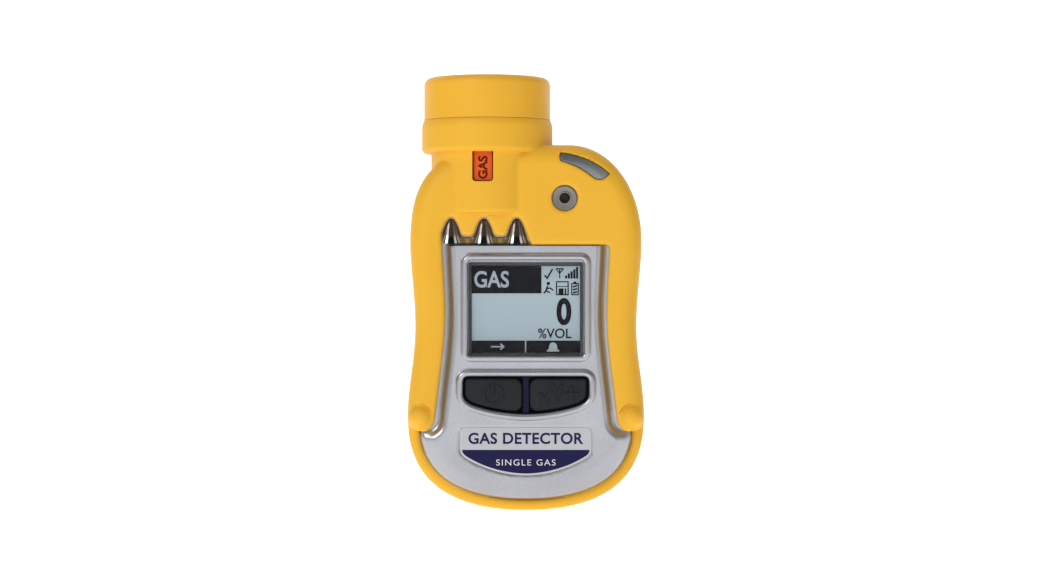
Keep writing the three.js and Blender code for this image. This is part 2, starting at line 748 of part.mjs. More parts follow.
addPart("alarm_light_bar", lampBar(), 0xd8dade, 0.8, 0.15);
LAMP_XS.forEach((x, i) => addPart(`alarm_led_${i + 1}`, lamp(x, 72.6, -10.9), 0xd03020));
addPart("shoulder_lens", shoulderLens(), 0x9a9c9e, 0, 0.2);
[
  [13.6, 88],
  [17.2, 85.9],
].forEach(([x, z], i) => addPart(`shoulder_led_${i + 1}`, lamp(x, z, -8.9), 0xd03020));
addPart("sounder_ring", sounderRing(), 0x73706a, 0.5, 0.4);
addPart("sounder_membrane", rod(10.2, 82.2, 3, -INNER_Y + GAP, -8.8, 24), 0x1c1c1e);
addPart("sounder", rod(10.2, 82.2, 5, -8.5, BOARD_Y - GAP, 24), 0x202226);

addPart("sensor_neck", onHead(sensorNeck()), 0x3a3d42);
addPart("sensor_board", onHead(upright(0, 0, 10.6, 88.3, 89.5)), GREEN);
for (let i = 0; i < 3; i++) {
  const angle = ((0.5 + i) * 2 * Math.PI) / 3;
  const pin = upright(6.6 * Math.cos(angle), 6.6 * Math.sin(angle), 0.75, 89.8, 92.1, 10);
  addPart(`sensor_pin_${i + 1}`, onHead(pin), GOLD, 1, 0.3);
}
addPart("sensor_cell", onHead(sensorModule()), 0xd9d6cc);
addPart("sensor_inlet_disc", onHead(upright(0, 0, 7.2, 108.8, 109.3)), 0xf2f2ee);
const ribbon = block(HEAD_X - 2.8, HEAD_X + 2.8, -2.9, -2.6, 79, 88);
addPart("sensor_ribbon", ribbon, 0xb8752e);
const socket = block(HEAD_X - 3.2, HEAD_X + 3.2, -3.1, -1.2, 76, 78.7);
addPart("ribbon_socket", socket, 0xe6dfcf);
addPart("sensor_tag", sensorTag(), 0xd74b14);

addPart("cap_gasket", onHead(ring(NECK_BORE_R, 12.8, NECK_TOP + GAP, 111.3)), 0x26282c);
addPart("cap_filter", onHead(upright(0, 0, 12.8, 111.6, 112.1)), 0xf4f4f0);
addPart("sensor_cap", onHead(sensorCap()), YELLOW, 0, 0.6);

addPart("main_board", mainBoard(), GREEN, 0, 0.5);
addPart("battery_pack", batteryPack(), 0x2f4f9a, 0, 0.4);
const plug = block(-4, 4, -3.1, 0.4, 16.5, 20.5);
addPart("battery_connector", plug, 0xe6dfcf);
addPart("radio_module", block(-20, -6, -3.1, -0.9, 62, 73.5), STEEL, 0.9, 0.35);
addPart("antenna", block(13.5, 22.5, -3.1, -2.5, 62.5, 73.5), 0xe0d0a0);
const motor = crossbar(4, 66, 2.7, -3, 8, 16);
addPart("vibration_motor", motor, STEEL, 1, 0.3);
addPart("vibration_weight", vibrationWeight().translate([0, 4, 66]), 0x8d8f93, 1, 0.4);
addPart("contact_board", block(-9, 9, 7.3, 8.5, 11.5, 18.5), GREEN);
[-6, 0, 6].forEach((x, i) => {
  addPart(`charge_contact_${i + 1}`, rod(x, 15, 1.5, 8.8, 12.6, 16), GOLD, 1, 0.3);
});
const label = plate(roundedBox(-15, 15, 20.5, 35.5, 1), CASE_PAD_Y + 0.2, CASE_PAD_Y + 0.4);
addPart("rear_label", label, 0xd4d6d8);

addPart("clip_base", onClip(clipBase()), STEEL, 1, 0.3);
addPart("clip_lever", onClip(clipLever()), STEEL, 1, 0.3);
addPart("clip_pin", onClip(clipPin()), 0x9a9da1, 1, 0.3);
addPart("clip_spring", onClip(clipSpring()), 0xa8abb0, 1, 0.3);
addPart("clip_screw", onClip(clipScrew()), STEEL, 1, 0.35);

export default instrument;
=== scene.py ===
"""A portable gas detector in a yellow rubber boot, standing on a pale studio floor.

Shapes are worked out in millimetres, with x to the right, z up and y to the back, and with y
counted from the instrument's middle plane. They become metres in the frame when a mesh is made.
"""

import json
import math

import bmesh
import bpy
import numpy as np
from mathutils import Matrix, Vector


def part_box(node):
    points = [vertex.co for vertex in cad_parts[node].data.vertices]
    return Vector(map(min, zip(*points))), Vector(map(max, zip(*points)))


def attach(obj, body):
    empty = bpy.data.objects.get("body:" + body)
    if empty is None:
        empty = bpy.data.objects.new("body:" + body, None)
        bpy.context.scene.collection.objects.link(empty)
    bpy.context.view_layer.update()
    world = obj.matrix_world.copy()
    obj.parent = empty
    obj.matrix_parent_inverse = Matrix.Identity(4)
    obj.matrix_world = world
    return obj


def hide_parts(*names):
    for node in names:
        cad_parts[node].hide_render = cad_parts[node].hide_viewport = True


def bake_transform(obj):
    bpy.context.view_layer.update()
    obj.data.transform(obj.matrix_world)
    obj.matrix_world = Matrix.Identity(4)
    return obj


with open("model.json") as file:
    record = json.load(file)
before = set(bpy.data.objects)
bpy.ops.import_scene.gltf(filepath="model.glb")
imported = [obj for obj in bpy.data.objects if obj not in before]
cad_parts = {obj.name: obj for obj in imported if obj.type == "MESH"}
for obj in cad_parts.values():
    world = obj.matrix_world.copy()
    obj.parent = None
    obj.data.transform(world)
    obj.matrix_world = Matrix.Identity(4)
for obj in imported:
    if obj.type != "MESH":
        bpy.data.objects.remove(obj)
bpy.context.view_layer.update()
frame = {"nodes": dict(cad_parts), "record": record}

# ---- Camera
# The instrument is seen square on from the front, from level with its middle.
MM = 0.001
CAMERA_DISTANCE = 700.0  # from the instrument's middle plane
CAMERA_X, CAMERA_HEIGHT = 0.3, 57.7
VIEW_WIDTH = 281.3  # at the instrument's middle plane
MIDDLE_Y = 0.5 * sum(corner.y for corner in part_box("sensor_cap")) / MM


def extent(node):
    """Lowest and highest corner of a CAD node in millimetres, y from the middle plane."""
    return [np.array(corner) / MM - (0, MIDDLE_Y, 0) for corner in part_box(node)]


boot_high = extent("rubber_boot")[1]
cap_low, cap_high = extent("sensor_cap")
HEAD_X = 0.5 * (cap_low[0] + cap_high[0])

lens = bpy.data.cameras.new("front_camera")
lens.sensor_width = 36.0
lens.lens = lens.sensor_width * CAMERA_DISTANCE / VIEW_WIDTH
camera = bpy.data.objects.new("front_camera", lens)
camera.location = (CAMERA_X * MM, (MIDDLE_Y - CAMERA_DISTANCE) * MM, CAMERA_HEIGHT * MM)
camera.rotation_euler = (math.pi / 2, 0, 0)
bpy.context.scene.collection.objects.link(camera)
bpy.context.scene.camera = camera
bpy.context.scene.view_settings.view_transform = "Standard"


# ---- Studio
# A pale sheet that runs over the table and curves up behind, under four soft boxes.
def new_object(name, vertices, faces):
    """A mesh object from vertices in metres and faces as lists of their numbers."""
    faces = faces.tolist() if isinstance(faces, np.ndarray) else faces
    mesh = bpy.data.meshes.new(name)
    mesh.from_pydata(np.asarray(vertices, float).tolist(), [], faces)
    mesh.validate()
    obj = bpy.data.objects.new(name, mesh)
    bpy.context.scene.collection.objects.link(obj)
    return obj


def strip_faces(rows, columns, closed=False):
    """Quads of a grid of rows by columns of points; closed joins the last column to the first."""
    row = np.arange(rows - 1)[:, None] * columns
    column = np.arange(columns if closed else columns - 1)[None, :]
    after = (column + 1) % columns
    quads = np.stack([row + column, row + after, row + columns + after, row + columns + column])
    return quads.reshape(4, -1).T


def backdrop():
    """A sheet whose section is a floor, a quarter circle of 0.6 m radius and a wall."""
    radius, back, side = 0.6, 0.9, 2.6
    angle = np.linspace(0, math.pi / 2, 25)
    y = np.concatenate([[-2.5], back + radius * np.sin(angle), [back + radius]])
    z = np.concatenate([[0], radius - radius * np.cos(angle), [3.0]])
    points = [(x, *place) for x in (side, -side) for place in zip(y, z - 0.0002)]
    sheet = new_object("studio_sheet", points, strip_faces(2, len(y)))
    sheet.data.polygons.foreach_set("use_smooth", [True] * len(sheet.data.polygons))
    paper = bpy.data.materials.new("pale_paper")
    paper.use_nodes = True
    shader = paper.node_tree.nodes["Principled BSDF"]
    shader.inputs["Base Color"].default_value = (0.86, 0.86, 0.86, 1)
    shader.inputs["Roughness"].default_value = 0.9
    shader.inputs["Emission Color"].default_value = (1, 1, 1, 1)
    shader.inputs["Emission Strength"].default_value = 0.78
    sheet.data.materials.append(paper)


def soft_box(name, place, size, watts, colour=(1, 1, 1)):
    """A square area light of the given size in metres, turned towards the instrument."""
    light = bpy.data.lights.new(name, "AREA")
    light.size, light.energy, light.color = size, watts, colour
    obj = bpy.data.objects.new(name, light)
    obj.location = place
    away = obj.location.copy()
    away.z -= camera.location.z
    obj.rotation_euler = away.to_track_quat("Z", "Y").to_euler()
    bpy.context.scene.collection.objects.link(obj)


backdrop()
soft_box("key_light", (-0.75, -0.95, 0.75), 0.6, 6.9)
soft_box("fill_light", (0.95, -0.8, 0.35), 0.7, 1.0, (1, 0.94, 0.84))
soft_box("top_light", (0.0, 0.1, 1.2), 0.8, 2.6)
soft_box("low_light", (0.0, -1.0, 0.05), 0.5, 0.8)
world = bpy.data.worlds.new("studio_air")
world.use_nodes = True
world.node_tree.nodes["Background"].inputs["Color"].default_value = (1, 1, 1, 1)
world.node_tree.nodes["Background"].inputs["Strength"].default_value = 0.13
bpy.context.scene.world = world


# ---- Rubber boot
# One piece of yellow thermoplastic rubber, moulded over a cavity for the case. Two side rails
# end in feet with a rounded stud; a bulge and a collar follow the sensor neck; windows show the
# case, the lamps, the sounder and the sensor's tag.
BOOT_SKIN = 2.0  # at the front and back
BOOT_WALL = 2.9  # at the sides
BOOT_ROUND = 5.0  # edge radius
GAP = 0.3
BODY_TOP = 96.3
NECK_BULGE_R = 14.9
NECK_BULGE_Z = 78.3
COLLAR_R = 17.4
COLLAR_Z = 94.4
WINDOW_TOP = 70.0
LAMP_PITCH = 8.6
LAMP_XS = [-2.4 - LAMP_PITCH * i for i in range(3)]
LAMP_TIP_Z, LAMP_VALLEY_Z = 77.1, 72.2
boot_depth = 13.3
half_width = boot_high[0]


def curve_through(start, *curves, steps=24):
    """Points of a chain of curves: each has one end point, or two control points and an end."""
    t = np.linspace(0, 1, steps, endpoint=False)[:, None]
    here, points = np.array(start, float), []
    for curve in curves:
        ends = np.array(curve, float).reshape(-1, 2)
        if len(ends) == 1:
            points.append(here[None, :])
        else:
            a, b, c = ends
            points.append(
                (1 - t) ** 3 * here + 3 * (1 - t) ** 2 * t * a + 3 * (1 - t) * t**2 * b + t**3 * c
            )
        here = ends[-1]
    return np.concatenate(points)


def mirrored(points):
    """Closes a right-hand half outline, bottom to top, with its mirror image on the left."""
    left = points[::-1] * (-1, 1)
    keep = np.abs(left[:, 0]) > 1e-6
    return np.concatenate([points, left[keep]])


def distance_to(outline, step=0.4, margin=9.0):
    """Signed distance to a closed outline, negative inside, as a function of x and z.

    It is exact on a grid of the given step: the least distance to the outline's edges, with
    the sign from the number of edges that a ray to the right crosses. Between the grid's points
    it is a Catmull-Rom spline both ways.
    """
    low = outline.min(0) - margin
    count = np.ceil((outline.max(0) + margin - low) / step).astype(int) + 3
    x = low[0] + step * np.arange(count[0])[:, None]
    z = low[1] + step * np.arange(count[1])[None, :]
    least = np.full(tuple(count), np.inf)
    inside = np.zeros(tuple(count), bool)
    for (ax, az), (bx, bz) in zip(outline, np.roll(outline, -1, axis=0)):
        ex, ez = bx - ax, bz - az
        share = np.clip(((x - ax) * ex + (z - az) * ez) / (ex * ex + ez * ez), 0, 1)
        least = np.minimum(least, (x - ax - share * ex) ** 2 + (z - az - share * ez) ** 2)
        if ez != 0:
            inside ^= ((az > z) != (bz > z)) & (x < ax + (z - az) * ex / ez)
    table = np.sqrt(least) * np.where(inside, -1, 1)

    def weights(t):
        """Catmull-Rom weights of four neighbours, at the share t between the middle two."""
        return [
            0.5 * (-t + 2 * t**2 - t**3),
            0.5 * (2 - 5 * t**2 + 3 * t**3),
            0.5 * (t + 4 * t**2 - 3 * t**3),
            0.5 * (t**3 - t**2),
        ]

    def distance(x, z):
        """The spline's value at (x, z)."""
        u = np.clip((x - low[0]) / step, 1, count[0] - 2.001)
        v = np.clip((z - low[1]) / step, 1, count[1] - 2.001)
        i, k = np.floor(u).astype(int), np.floor(v).astype(int)
        wi, wk = weights(u - i), weights(v - k)
        total = 0
        for a in range(4):
            for b in range(4):
                total = total + wi[a] * wk[b] * table[i + a - 1, k + b - 1]
        return total

    return distance


def rounded_solid(across, along, radius):
    """Distance to a solid that is across < 0 and along < 0, with its common edge rounded."""
    a, b = across + radius, along + radius
    outside = np.hypot(np.maximum(a, 0), np.maximum(b, 0))
    return np.minimum(np.maximum(a, b), 0) + outside - radius


def united(a, b, blend=0.0):
    """The lesser of two distances, blended over the given width where they are alike."""
    if blend == 0:
        return np.minimum(a, b)
    near = np.maximum(blend - np.abs(a - b), 0)
    return np.minimum(a, b) - near * near / (4 * blend)


def cut(solid, tool, blend=0.0):
    """What is left of a solid when a tool is taken from it; blend rounds the lip."""
    return -united(-solid, tool, blend)


def rounded_box(x, z, low, high, radius):
    """Distance to an upright rectangle with rounded corners, in the plane of x and z."""
    dx = np.abs(x - 0.5 * (low[0] + high[0])) - 0.5 * (high[0] - low[0])
    dz = np.abs(z - 0.5 * (low[1] + high[1])) - 0.5 * (high[1] - low[1])
    return rounded_solid(dx, dz, radius)


def head_radius(x, y):
    """Distance from the sensor head's axis."""
    return np.hypot(x - HEAD_X, y)


def contoured(field, low, high, step):
    """Vertices and quads of the surface where field(x, y, z) is zero, by dual contouring.

    One vertex stands in each cell of the grid that the surface crosses. It is the point that
    fits best, by least squares, the planes that touch the surface where it crosses the cell's
    edges. One quad stands across each grid edge that the surface crosses.
    """
    low, high = np.array(low) - 1.6 * step, np.array(high) + 1.6 * step
    count = np.ceil((high - low) / step).astype(int) + 1
    axes = [low[d] + step * np.arange(count[d]) for d in range(3)]
    value = field(*np.meshgrid(*axes, indexing="ij", sparse=True))
    inside = value < 0
    places, normals, owners, quads = [], [], [], []
    strides = np.array([count[1] * count[2], count[2], 1])
    for d in range(3):
        e, f = (d + 1) % 3, (d + 2) % 3
        first, second = [slice(None)] * 3, [slice(None)] * 3
        first[d], second[d] = slice(None, -1), slice(1, None)
        at = np.argwhere(inside[tuple(first)] != inside[tuple(second)])
        unit = np.eye(3)[d]
        a, b = low + at * step, low + (at + unit) * step
        flip = ~inside[tuple(at.T)]
        a[flip], b[flip] = b[flip], a[flip].copy()
        for _ in range(6):
            middle = 0.5 * (a + b)
            within = (field(*middle.T) < 0)[:, None]
            a, b = np.where(within, middle, a), np.where(within, b, middle)
        fa, fb = field(*a.T), field(*b.T)
        share = np.clip(fa / np.where(fa == fb, 1, fa - fb), 0, 1)[:, None]
        place = a + share * (b - a)
        slope = gradient(field, place)
        corner = at @ strides
        ring = [corner, corner - strides[e], corner - strides[e] - strides[f], corner - strides[f]]
        quad = np.stack(ring, axis=1)
        quad[flip] = quad[flip, ::-1]
        quads.append(quad)
        places.append(np.repeat(place, 4, axis=0))
        normals.append(np.repeat(slope, 4, axis=0))
        owners.append(np.stack(ring, axis=1).ravel())
    cells, owner = np.unique(np.concatenate(owners), return_inverse=True)
    place, normal = np.concatenate(places), np.concatenate(normals)

    def total(weight):
        """Sum of a weight over the crossings that each cell owns."""
        return np.bincount(owner, weight, minlength=len(cells))

    share = total(np.ones(len(owner)))
    centre = np.stack([total(place[:, d]) for d in range(3)], axis=1) / share[:, None]
    height = np.einsum("ij,ij->i", normal, place - centre[owner])
    matrix = np.empty((len(cells), 3, 3))
    right = np.empty((len(cells), 3))
    for d in range(3):
        right[:, d] = total(normal[:, d] * height)
        for e in range(3):
            matrix[:, d, e] = total(normal[:, d] * normal[:, e])
    matrix += 0.04 * share[:, None, None] * np.eye(3)
    move = np.linalg.solve(matrix, right[:, :, None])[:, :, 0]
    vertices = centre + np.clip(move, -0.7 * step, 0.7 * step)
    return vertices, np.searchsorted(cells, np.concatenate(quads))


def gradient(field, places, reach=0.02):
    """Unit slopes of a field at the given places, from differences either side."""
    slopes = []
    for offset in np.eye(3) * reach:
        slopes.append(field(*(places + offset).T) - field(*(places - offset).T))
    slope = np.stack(slopes, axis=1)
    return slope / np.maximum(np.linalg.norm(slope, axis=1, keepdims=True), 1e-9)


def add_piece(
    name,
    vertices,
    faces,
    material,
    body="instrument",
    replaced=(),
    slot=None,
    crease=40,
    merge=False,
):
    """A piece from vertices in millimetres, smooth but for edges sharper than crease degrees.

    merge joins vertices in the same place and turns the faces outwards.
    """
    places = (np.asarray(vertices) + (0, MIDDLE_Y, 0)) * MM
    obj = new_object(name, places, faces)
    if merge:
        shape = bmesh.new()
        shape.from_mesh(obj.data)
        bmesh.ops.remove_doubles(shape, verts=shape.verts, dist=1e-7)
        bmesh.ops.recalc_face_normals(shape, faces=shape.faces)
        shape.to_mesh(obj.data)
        shape.free()
    obj.data.polygons.foreach_set("use_smooth", [True] * len(obj.data.polygons))
    obj.data.set_sharp_from_angle(angle=math.radians(crease))
    obj.data.materials.append(material)
    if body:
        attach(obj, body)
    if replaced:
        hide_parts(*replaced)
    return obj


def body_outline():
    """The boot's silhouette below the head: swelling low down, waisted at the grip."""
    waist, shoulder = half_width - 2.05, half_width - 0.7
    return curve_through(
        (0, 0),
        [(20, 0), (half_width, 7.5), (half_width, 24.2)],
        [(half_width, 33), (waist, 40), (waist, 48.5)],
        [(waist, 56), (shoulder, 64), (shoulder, 71)],
        [(shoulder, 86), (21.6, BODY_TOP), (11.5, BODY_TOP)],
        [(-12, BODY_TOP)],
        [(-26, 93), (-shoulder, 85.5), (-shoulder, 71)],
        [(-shoulder, 64), (-waist, 56), (-waist, 48.5)],
        [(-waist, 40), (-half_width, 33), (-half_width, 24.2)],
        [(-half_width, 7.5), (-20, 0), (0, 0)],
    )


def arches(foot):
    """Curves of the three pointed arches over the lamps, right to left, from z = foot."""
    half = LAMP_PITCH / 2
    tip, valley = LAMP_TIP_Z, LAMP_VALLEY_Z
    curves = []
    for i, x in enumerate(LAMP_XS):
        start = foot if i == 0 else valley
        curves.append([(x + 3.4, start), (x + 2.9, valley + 0.3), (x + 2.55, valley + 0.8)])
        curves.append([(x + 2.0, valley + 2.4), (x + 1.3, tip), (x, tip)])
        curves.append([(x - 1.3, tip), (x - 2.0, valley + 2.4), (x - 2.55, valley + 0.8)])
        if i < 2:
            curves.append([(x - 2.9, valley + 0.3), (x - 3.4, valley), (x - half, valley)])
        else:
            curves.append([(-22.2, foot + 2.2), (-22.1, foot + 1.0), (-22.0, foot)])
    return curves


def window_outline():
    """The front window: arches at the top left, waisted sides, a foot at each lower corner."""
    top = WINDOW_TOP
    return curve_through(
        (0, 2.9),
        [(17, 2.9), (27.2, 10.3), (27.8, 20.4)],
        [(25.8, 20.6), (24, 22), (23.8, 25)],
        [(22.9, 34), (21.2, 43), (21.2, 52)],
        [(21.2, 58), (21.8, 64), (21.9, top - 1.2)],
        [(21.9, top - 0.4), (21.5, top), (20.7, top)],
        [(LAMP_XS[0] + LAMP_PITCH / 2, top)],
        *arches(top),
        [(-21.8, 64), (-21.2, 58), (-21.2, 52)],
        [(-21.2, 43), (-22.9, 34), (-23.8, 25)],
        [(-24, 22), (-25.8, 20.6), (-27.8, 20.4)],
        [(-27.2, 10.3), (-17, 2.9), (0, 2.9)],
    )


def crescent_outline():
    """The light window that follows the right shoulder."""
    return curve_through(
        (9.3, 91.8),
        [(12.6, 90.9), (15, 89.6), (17.4, 87.7)],
        [(18.6, 86.8), (19.8, 86.7), (20.8, 87.4)],
        [(21.4, 87.9), (21.8, 88.2), (22, 88.6)],
        [(18.5, 91.9), (14, 93.6), (9.4, 94.2)],
        [(8.7, 94.1), (8.6, 92.1), (9.3, 91.8)],
    )


body_edge = distance_to(body_outline())
window_edge = distance_to(window_outline())
crescent_edge = distance_to(crescent_outline(), step=0.25)
SOUNDER_X, SOUNDER_Z = [0.5 * sum(c[i] for c in extent("sounder_ring")) for i in (0, 2)]
tag_low, tag_high = extent("sensor_tag")


def neck_room(x, y, z):
    """The hole for the sensor neck, wider for the flange at its foot."""
    r = head_radius(x, y)
    return united(np.maximum(r - 12.9, 86 - z), np.maximum(r - 13.9, np.abs(z - 85) - 1.3))


def cavity(x, y, z):
    """The room for the case: the body's outline less the wall, with the case's rounded edges."""
    deep = rounded_solid(body_edge(x, z) + BOOT_WALL, np.abs(y) - 12.9, 4.8)
    return np.maximum(deep, np.abs(y) - (boot_depth - BOOT_SKIN))


def boot_field(x, y, z):
    """Distance to the boot: body, bulge, collar and studs united, then the windows cut."""
    r = head_radius(x, y)
    body = rounded_solid(body_edge(x, z), np.abs(y) - boot_depth, BOOT_ROUND)
    swell = np.hypot(x - HEAD_X, 0.94 * y) - NECK_BULGE_R
    bulge = rounded_solid(swell, np.abs(z - 90) - (90 - NECK_BULGE_Z), 0.9)
    taper = 0.58 * np.clip((z - 101) / 2.2, 0, 1) ** 2
    middle = 0.5 * (COLLAR_Z + boot_high[2])
    edge = np.where(z > middle, 0.12, 1.3)
    reach = 0.5 * (boot_high[2] - COLLAR_Z)
    collar = rounded_solid(r - COLLAR_R + taper, np.abs(z - middle) - reach, edge)
    stud = np.sqrt((np.abs(x) - 27.8) ** 2 + (y + 11.2) ** 2 + (z - 24.9) ** 2) - 3.1
    relief = np.maximum(y + 9, z - 20.6 - 0.25 * (np.abs(x) - 27))
    solid = united(body, bulge, 0.25)
    solid = cut(solid, relief, 2.2)
    solid = cut(solid, np.maximum(stud - 0.7, y + boot_depth - 0.7), 0.6)
    solid = united(solid, stud, 0.3)
    solid = united(solid, collar, 0.7)
    solid = cut(solid, np.maximum(window_edge(x, z), y), 1.3)
    rear = rounded_box(x, z, (-20.8, 9.2), (20.8, 83.2), 6)
    solid = cut(solid, np.maximum(rear, -y), 1.3)
    solid = cut(solid, np.maximum(crescent_edge(x, z), y + 9.2), 0.6)
    port = np.maximum(np.hypot(x - SOUNDER_X, z - SOUNDER_Z) - 3.4, y + 8)
    solid = cut(solid, port, 0.9)
    tag = rounded_box(x, z, tag_low[[0, 2]] - 0.25, tag_high[[0, 2]] + (0.25, 1.8), 0.95)
    solid = cut(solid, np.maximum(np.maximum(tag, y + 8), r - 16.0), 0.3)
    solid = cut(solid, cavity(x, y, z))
    return cut(solid, neck_room(x, y, z))


def grain_group():
    """Shader group: a fine moulded grain, and a broad mottle for colour and gloss.

    Fineness is the grain's scale in cells per metre, Depth the strength of its bump.
    """
    group = bpy.data.node_groups.new("moulded_grain", "ShaderNodeTree")
    face = group.interface
    for title in ("Fineness", "Depth"):
        face.new_socket(title, in_out="INPUT", socket_type="NodeSocketFloat")
    face.new_socket("Normal", in_out="OUTPUT", socket_type="NodeSocketVector")
    face.new_socket("Mottle", in_out="OUTPUT", socket_type="NodeSocketFloat")
    face.new_socket("Grain", in_out="OUTPUT", socket_type="NodeSocketFloat")
    nodes, links = group.nodes, group.links
    given, result = nodes.new("NodeGroupInput"), nodes.new("NodeGroupOutput")
    place = nodes.new("ShaderNodeTexCoord")
    grain, mottle = nodes.new("ShaderNodeTexNoise"), nodes.new("ShaderNodeTexNoise")
    grain.inputs["Detail"].default_value = 2
    mottle.inputs["Scale"].default_value = 60
    mottle.inputs["Detail"].default_value = 3
    bump = nodes.new("ShaderNodeBump")
    bump.inputs["Distance"].default_value = 0.0001
    links.new(place.outputs["Object"], grain.inputs["Vector"])
    links.new(place.outputs["Object"], mottle.inputs["Vector"])
    links.new(given.outputs["Fineness"], grain.inputs["Scale"])
    links.new(given.outputs["Depth"], bump.inputs["Strength"])
    links.new(grain.outputs["Fac"], bump.inputs["Height"])
    links.new(bump.outputs["Normal"], result.inputs["Normal"])
    links.new(mottle.outputs["Fac"], result.inputs["Mottle"])
    links.new(grain.outputs["Fac"], result.inputs["Grain"])
    return group


moulded_grain = grain_group()


def moulded(name, colour, second, roughness, fineness, depth, metallic=0.0, by="Mottle", **rest):
    """A material with the moulded grain, whose colour wanders from the first to the second.

    roughness is its two limits, and by names the part of the grain that drives both. rest sets
    the shader's other sockets, with _ for a space.
    """
    material = bpy.data.materials.new(name)
    material.use_nodes = True
    nodes, links = material.node_tree.nodes, material.node_tree.links
    shader = nodes["Principled BSDF"]
    grain = nodes.new("ShaderNodeGroup")
    grain.node_tree = moulded_grain
    grain.inputs["Fineness"].default_value = fineness
    grain.inputs["Depth"].default_value = depth
    tint = nodes.new("ShaderNodeMix")
    tint.data_type = "RGBA"
    tint.name = "tint"
    tint.inputs["A"].default_value = (*colour, 1)
    tint.inputs["B"].default_value = (*second, 1)
    gloss = nodes.new("ShaderNodeMapRange")
    gloss.inputs["From Min"].default_value = 0.3
    gloss.inputs["From Max"].default_value = 0.7
    gloss.inputs["To Min"].default_value = roughness[0]
    gloss.inputs["To Max"].default_value = roughness[1]
    links.new(grain.outputs[by], tint.inputs["Factor"])
    links.new(grain.outputs[by], gloss.inputs["Value"])
    links.new(tint.outputs["Result"], shader.inputs["Base Color"])
    links.new(gloss.outputs["Result"], shader.inputs["Roughness"])
    links.new(grain.outputs["Normal"], shader.inputs["Normal"])
    shader.inputs["Metallic"].default_value = metallic
    for socket, value in rest.items():
        shader.inputs[socket.replace("_", " ")].default_value = value
    return material


yellow_rubber = moulded(
    "yellow_rubber",
    (0.83, 0.455, 0.034),
    (0.79, 0.415, 0.028),
    (0.42, 0.52),
    2600,
    0.25,
    Specular_IOR_Level=0.22,
)
add_piece(
    "boot",
    *contoured(boot_field, (-half_width, -17.5, 0), (half_width, 17.5, boot_high[2]), 0.52),
    yellow_rubber,
    replaced=["rubber_boot"],
)

# ---- Front case
# The front half of the case: a thin shell of silver-painted plastic. Its raised face stands
# between the boot's rails, with a rounded rim round the display and another round the keys.
CASE_INSET = BOOT_WALL + GAP
CASE_WALL = 1.6
CASE_ROUND = 4.5
CASE_SIDE_Y = boot_depth - BOOT_SKIN - GAP
FACE_Y = 12.6
SPLIT = 0.5
RIM_R = 0.9
PLATE_RECESS = 0.25
screw_places = [
    (0.5 * (low[0] + high[0]), 0.5 * (low[2] + high[2]))
    for low, high in (extent(f"case_screw_{i}") for i in (1, 2, 3, 4))
]
pane_low, pane_high = extent("display_window")


def face_outline():
    """The raised face between the rails; below the feet it runs out past the case's edge."""
    return mirrored(
        curve_through(
            (0, -8),
            [(36, -8)],
            [(36, 19.8)],
            [(26.2, 19.9)],
            [(23.8, 20), (22.1, 21.4), (21.8, 24.2)],
            [(20.9, 34), (19.3, 43), (19.3, 52)],
            [(19.3, 58), (19.9, 64), (20.1, WINDOW_TOP + 4)],
            [(0, WINDOW_TOP + 4)],
        )
    )


def key_outline():
    """The key recess: straight on top, bowed below."""
    return mirrored(
        curve_through(
            (0, 25.6),
            [(4.5, 25.6), (9.5, 26.4), (13.6, 27.8)],
            [(15.4, 28.5), (16.5, 29.4), (16.5, 31.2)],
            [(16.5, 33.8)],
            [(16.5, 34.9), (16, 35.4), (14.9, 35.4)],
            [(0, 35.4)],
        )
    )


def plate_outline():
    """The nameplate: straight on top, bowed below."""
    return mirrored(
        curve_through(
            (0, 9.5),
            [(5, 9.5), (11, 11), (15.9, 14.1)],
            [(16.8, 14.7), (17.2, 15.4), (17.2, 16.3)],
            [(17.2, 20.6)],
            [(17.2, 21.5), (16.7, 22), (15.8, 22)],
            [(0, 22)],
        )
    )


face_edge = distance_to(face_outline(), margin=4)
key_edge = distance_to(key_outline(), margin=40)
plate_edge = distance_to(plate_outline(), margin=20)


def rod_y(x, y, z, place, radius, y0, y1):
    """Distance to a round bar along y, through the place (x, z), from y0 to y1."""
    across = np.hypot(x - place[0], z - place[1]) - radius
    return np.maximum(across, np.abs(y - 0.5 * (y0 + y1)) - 0.5 * (y1 - y0))


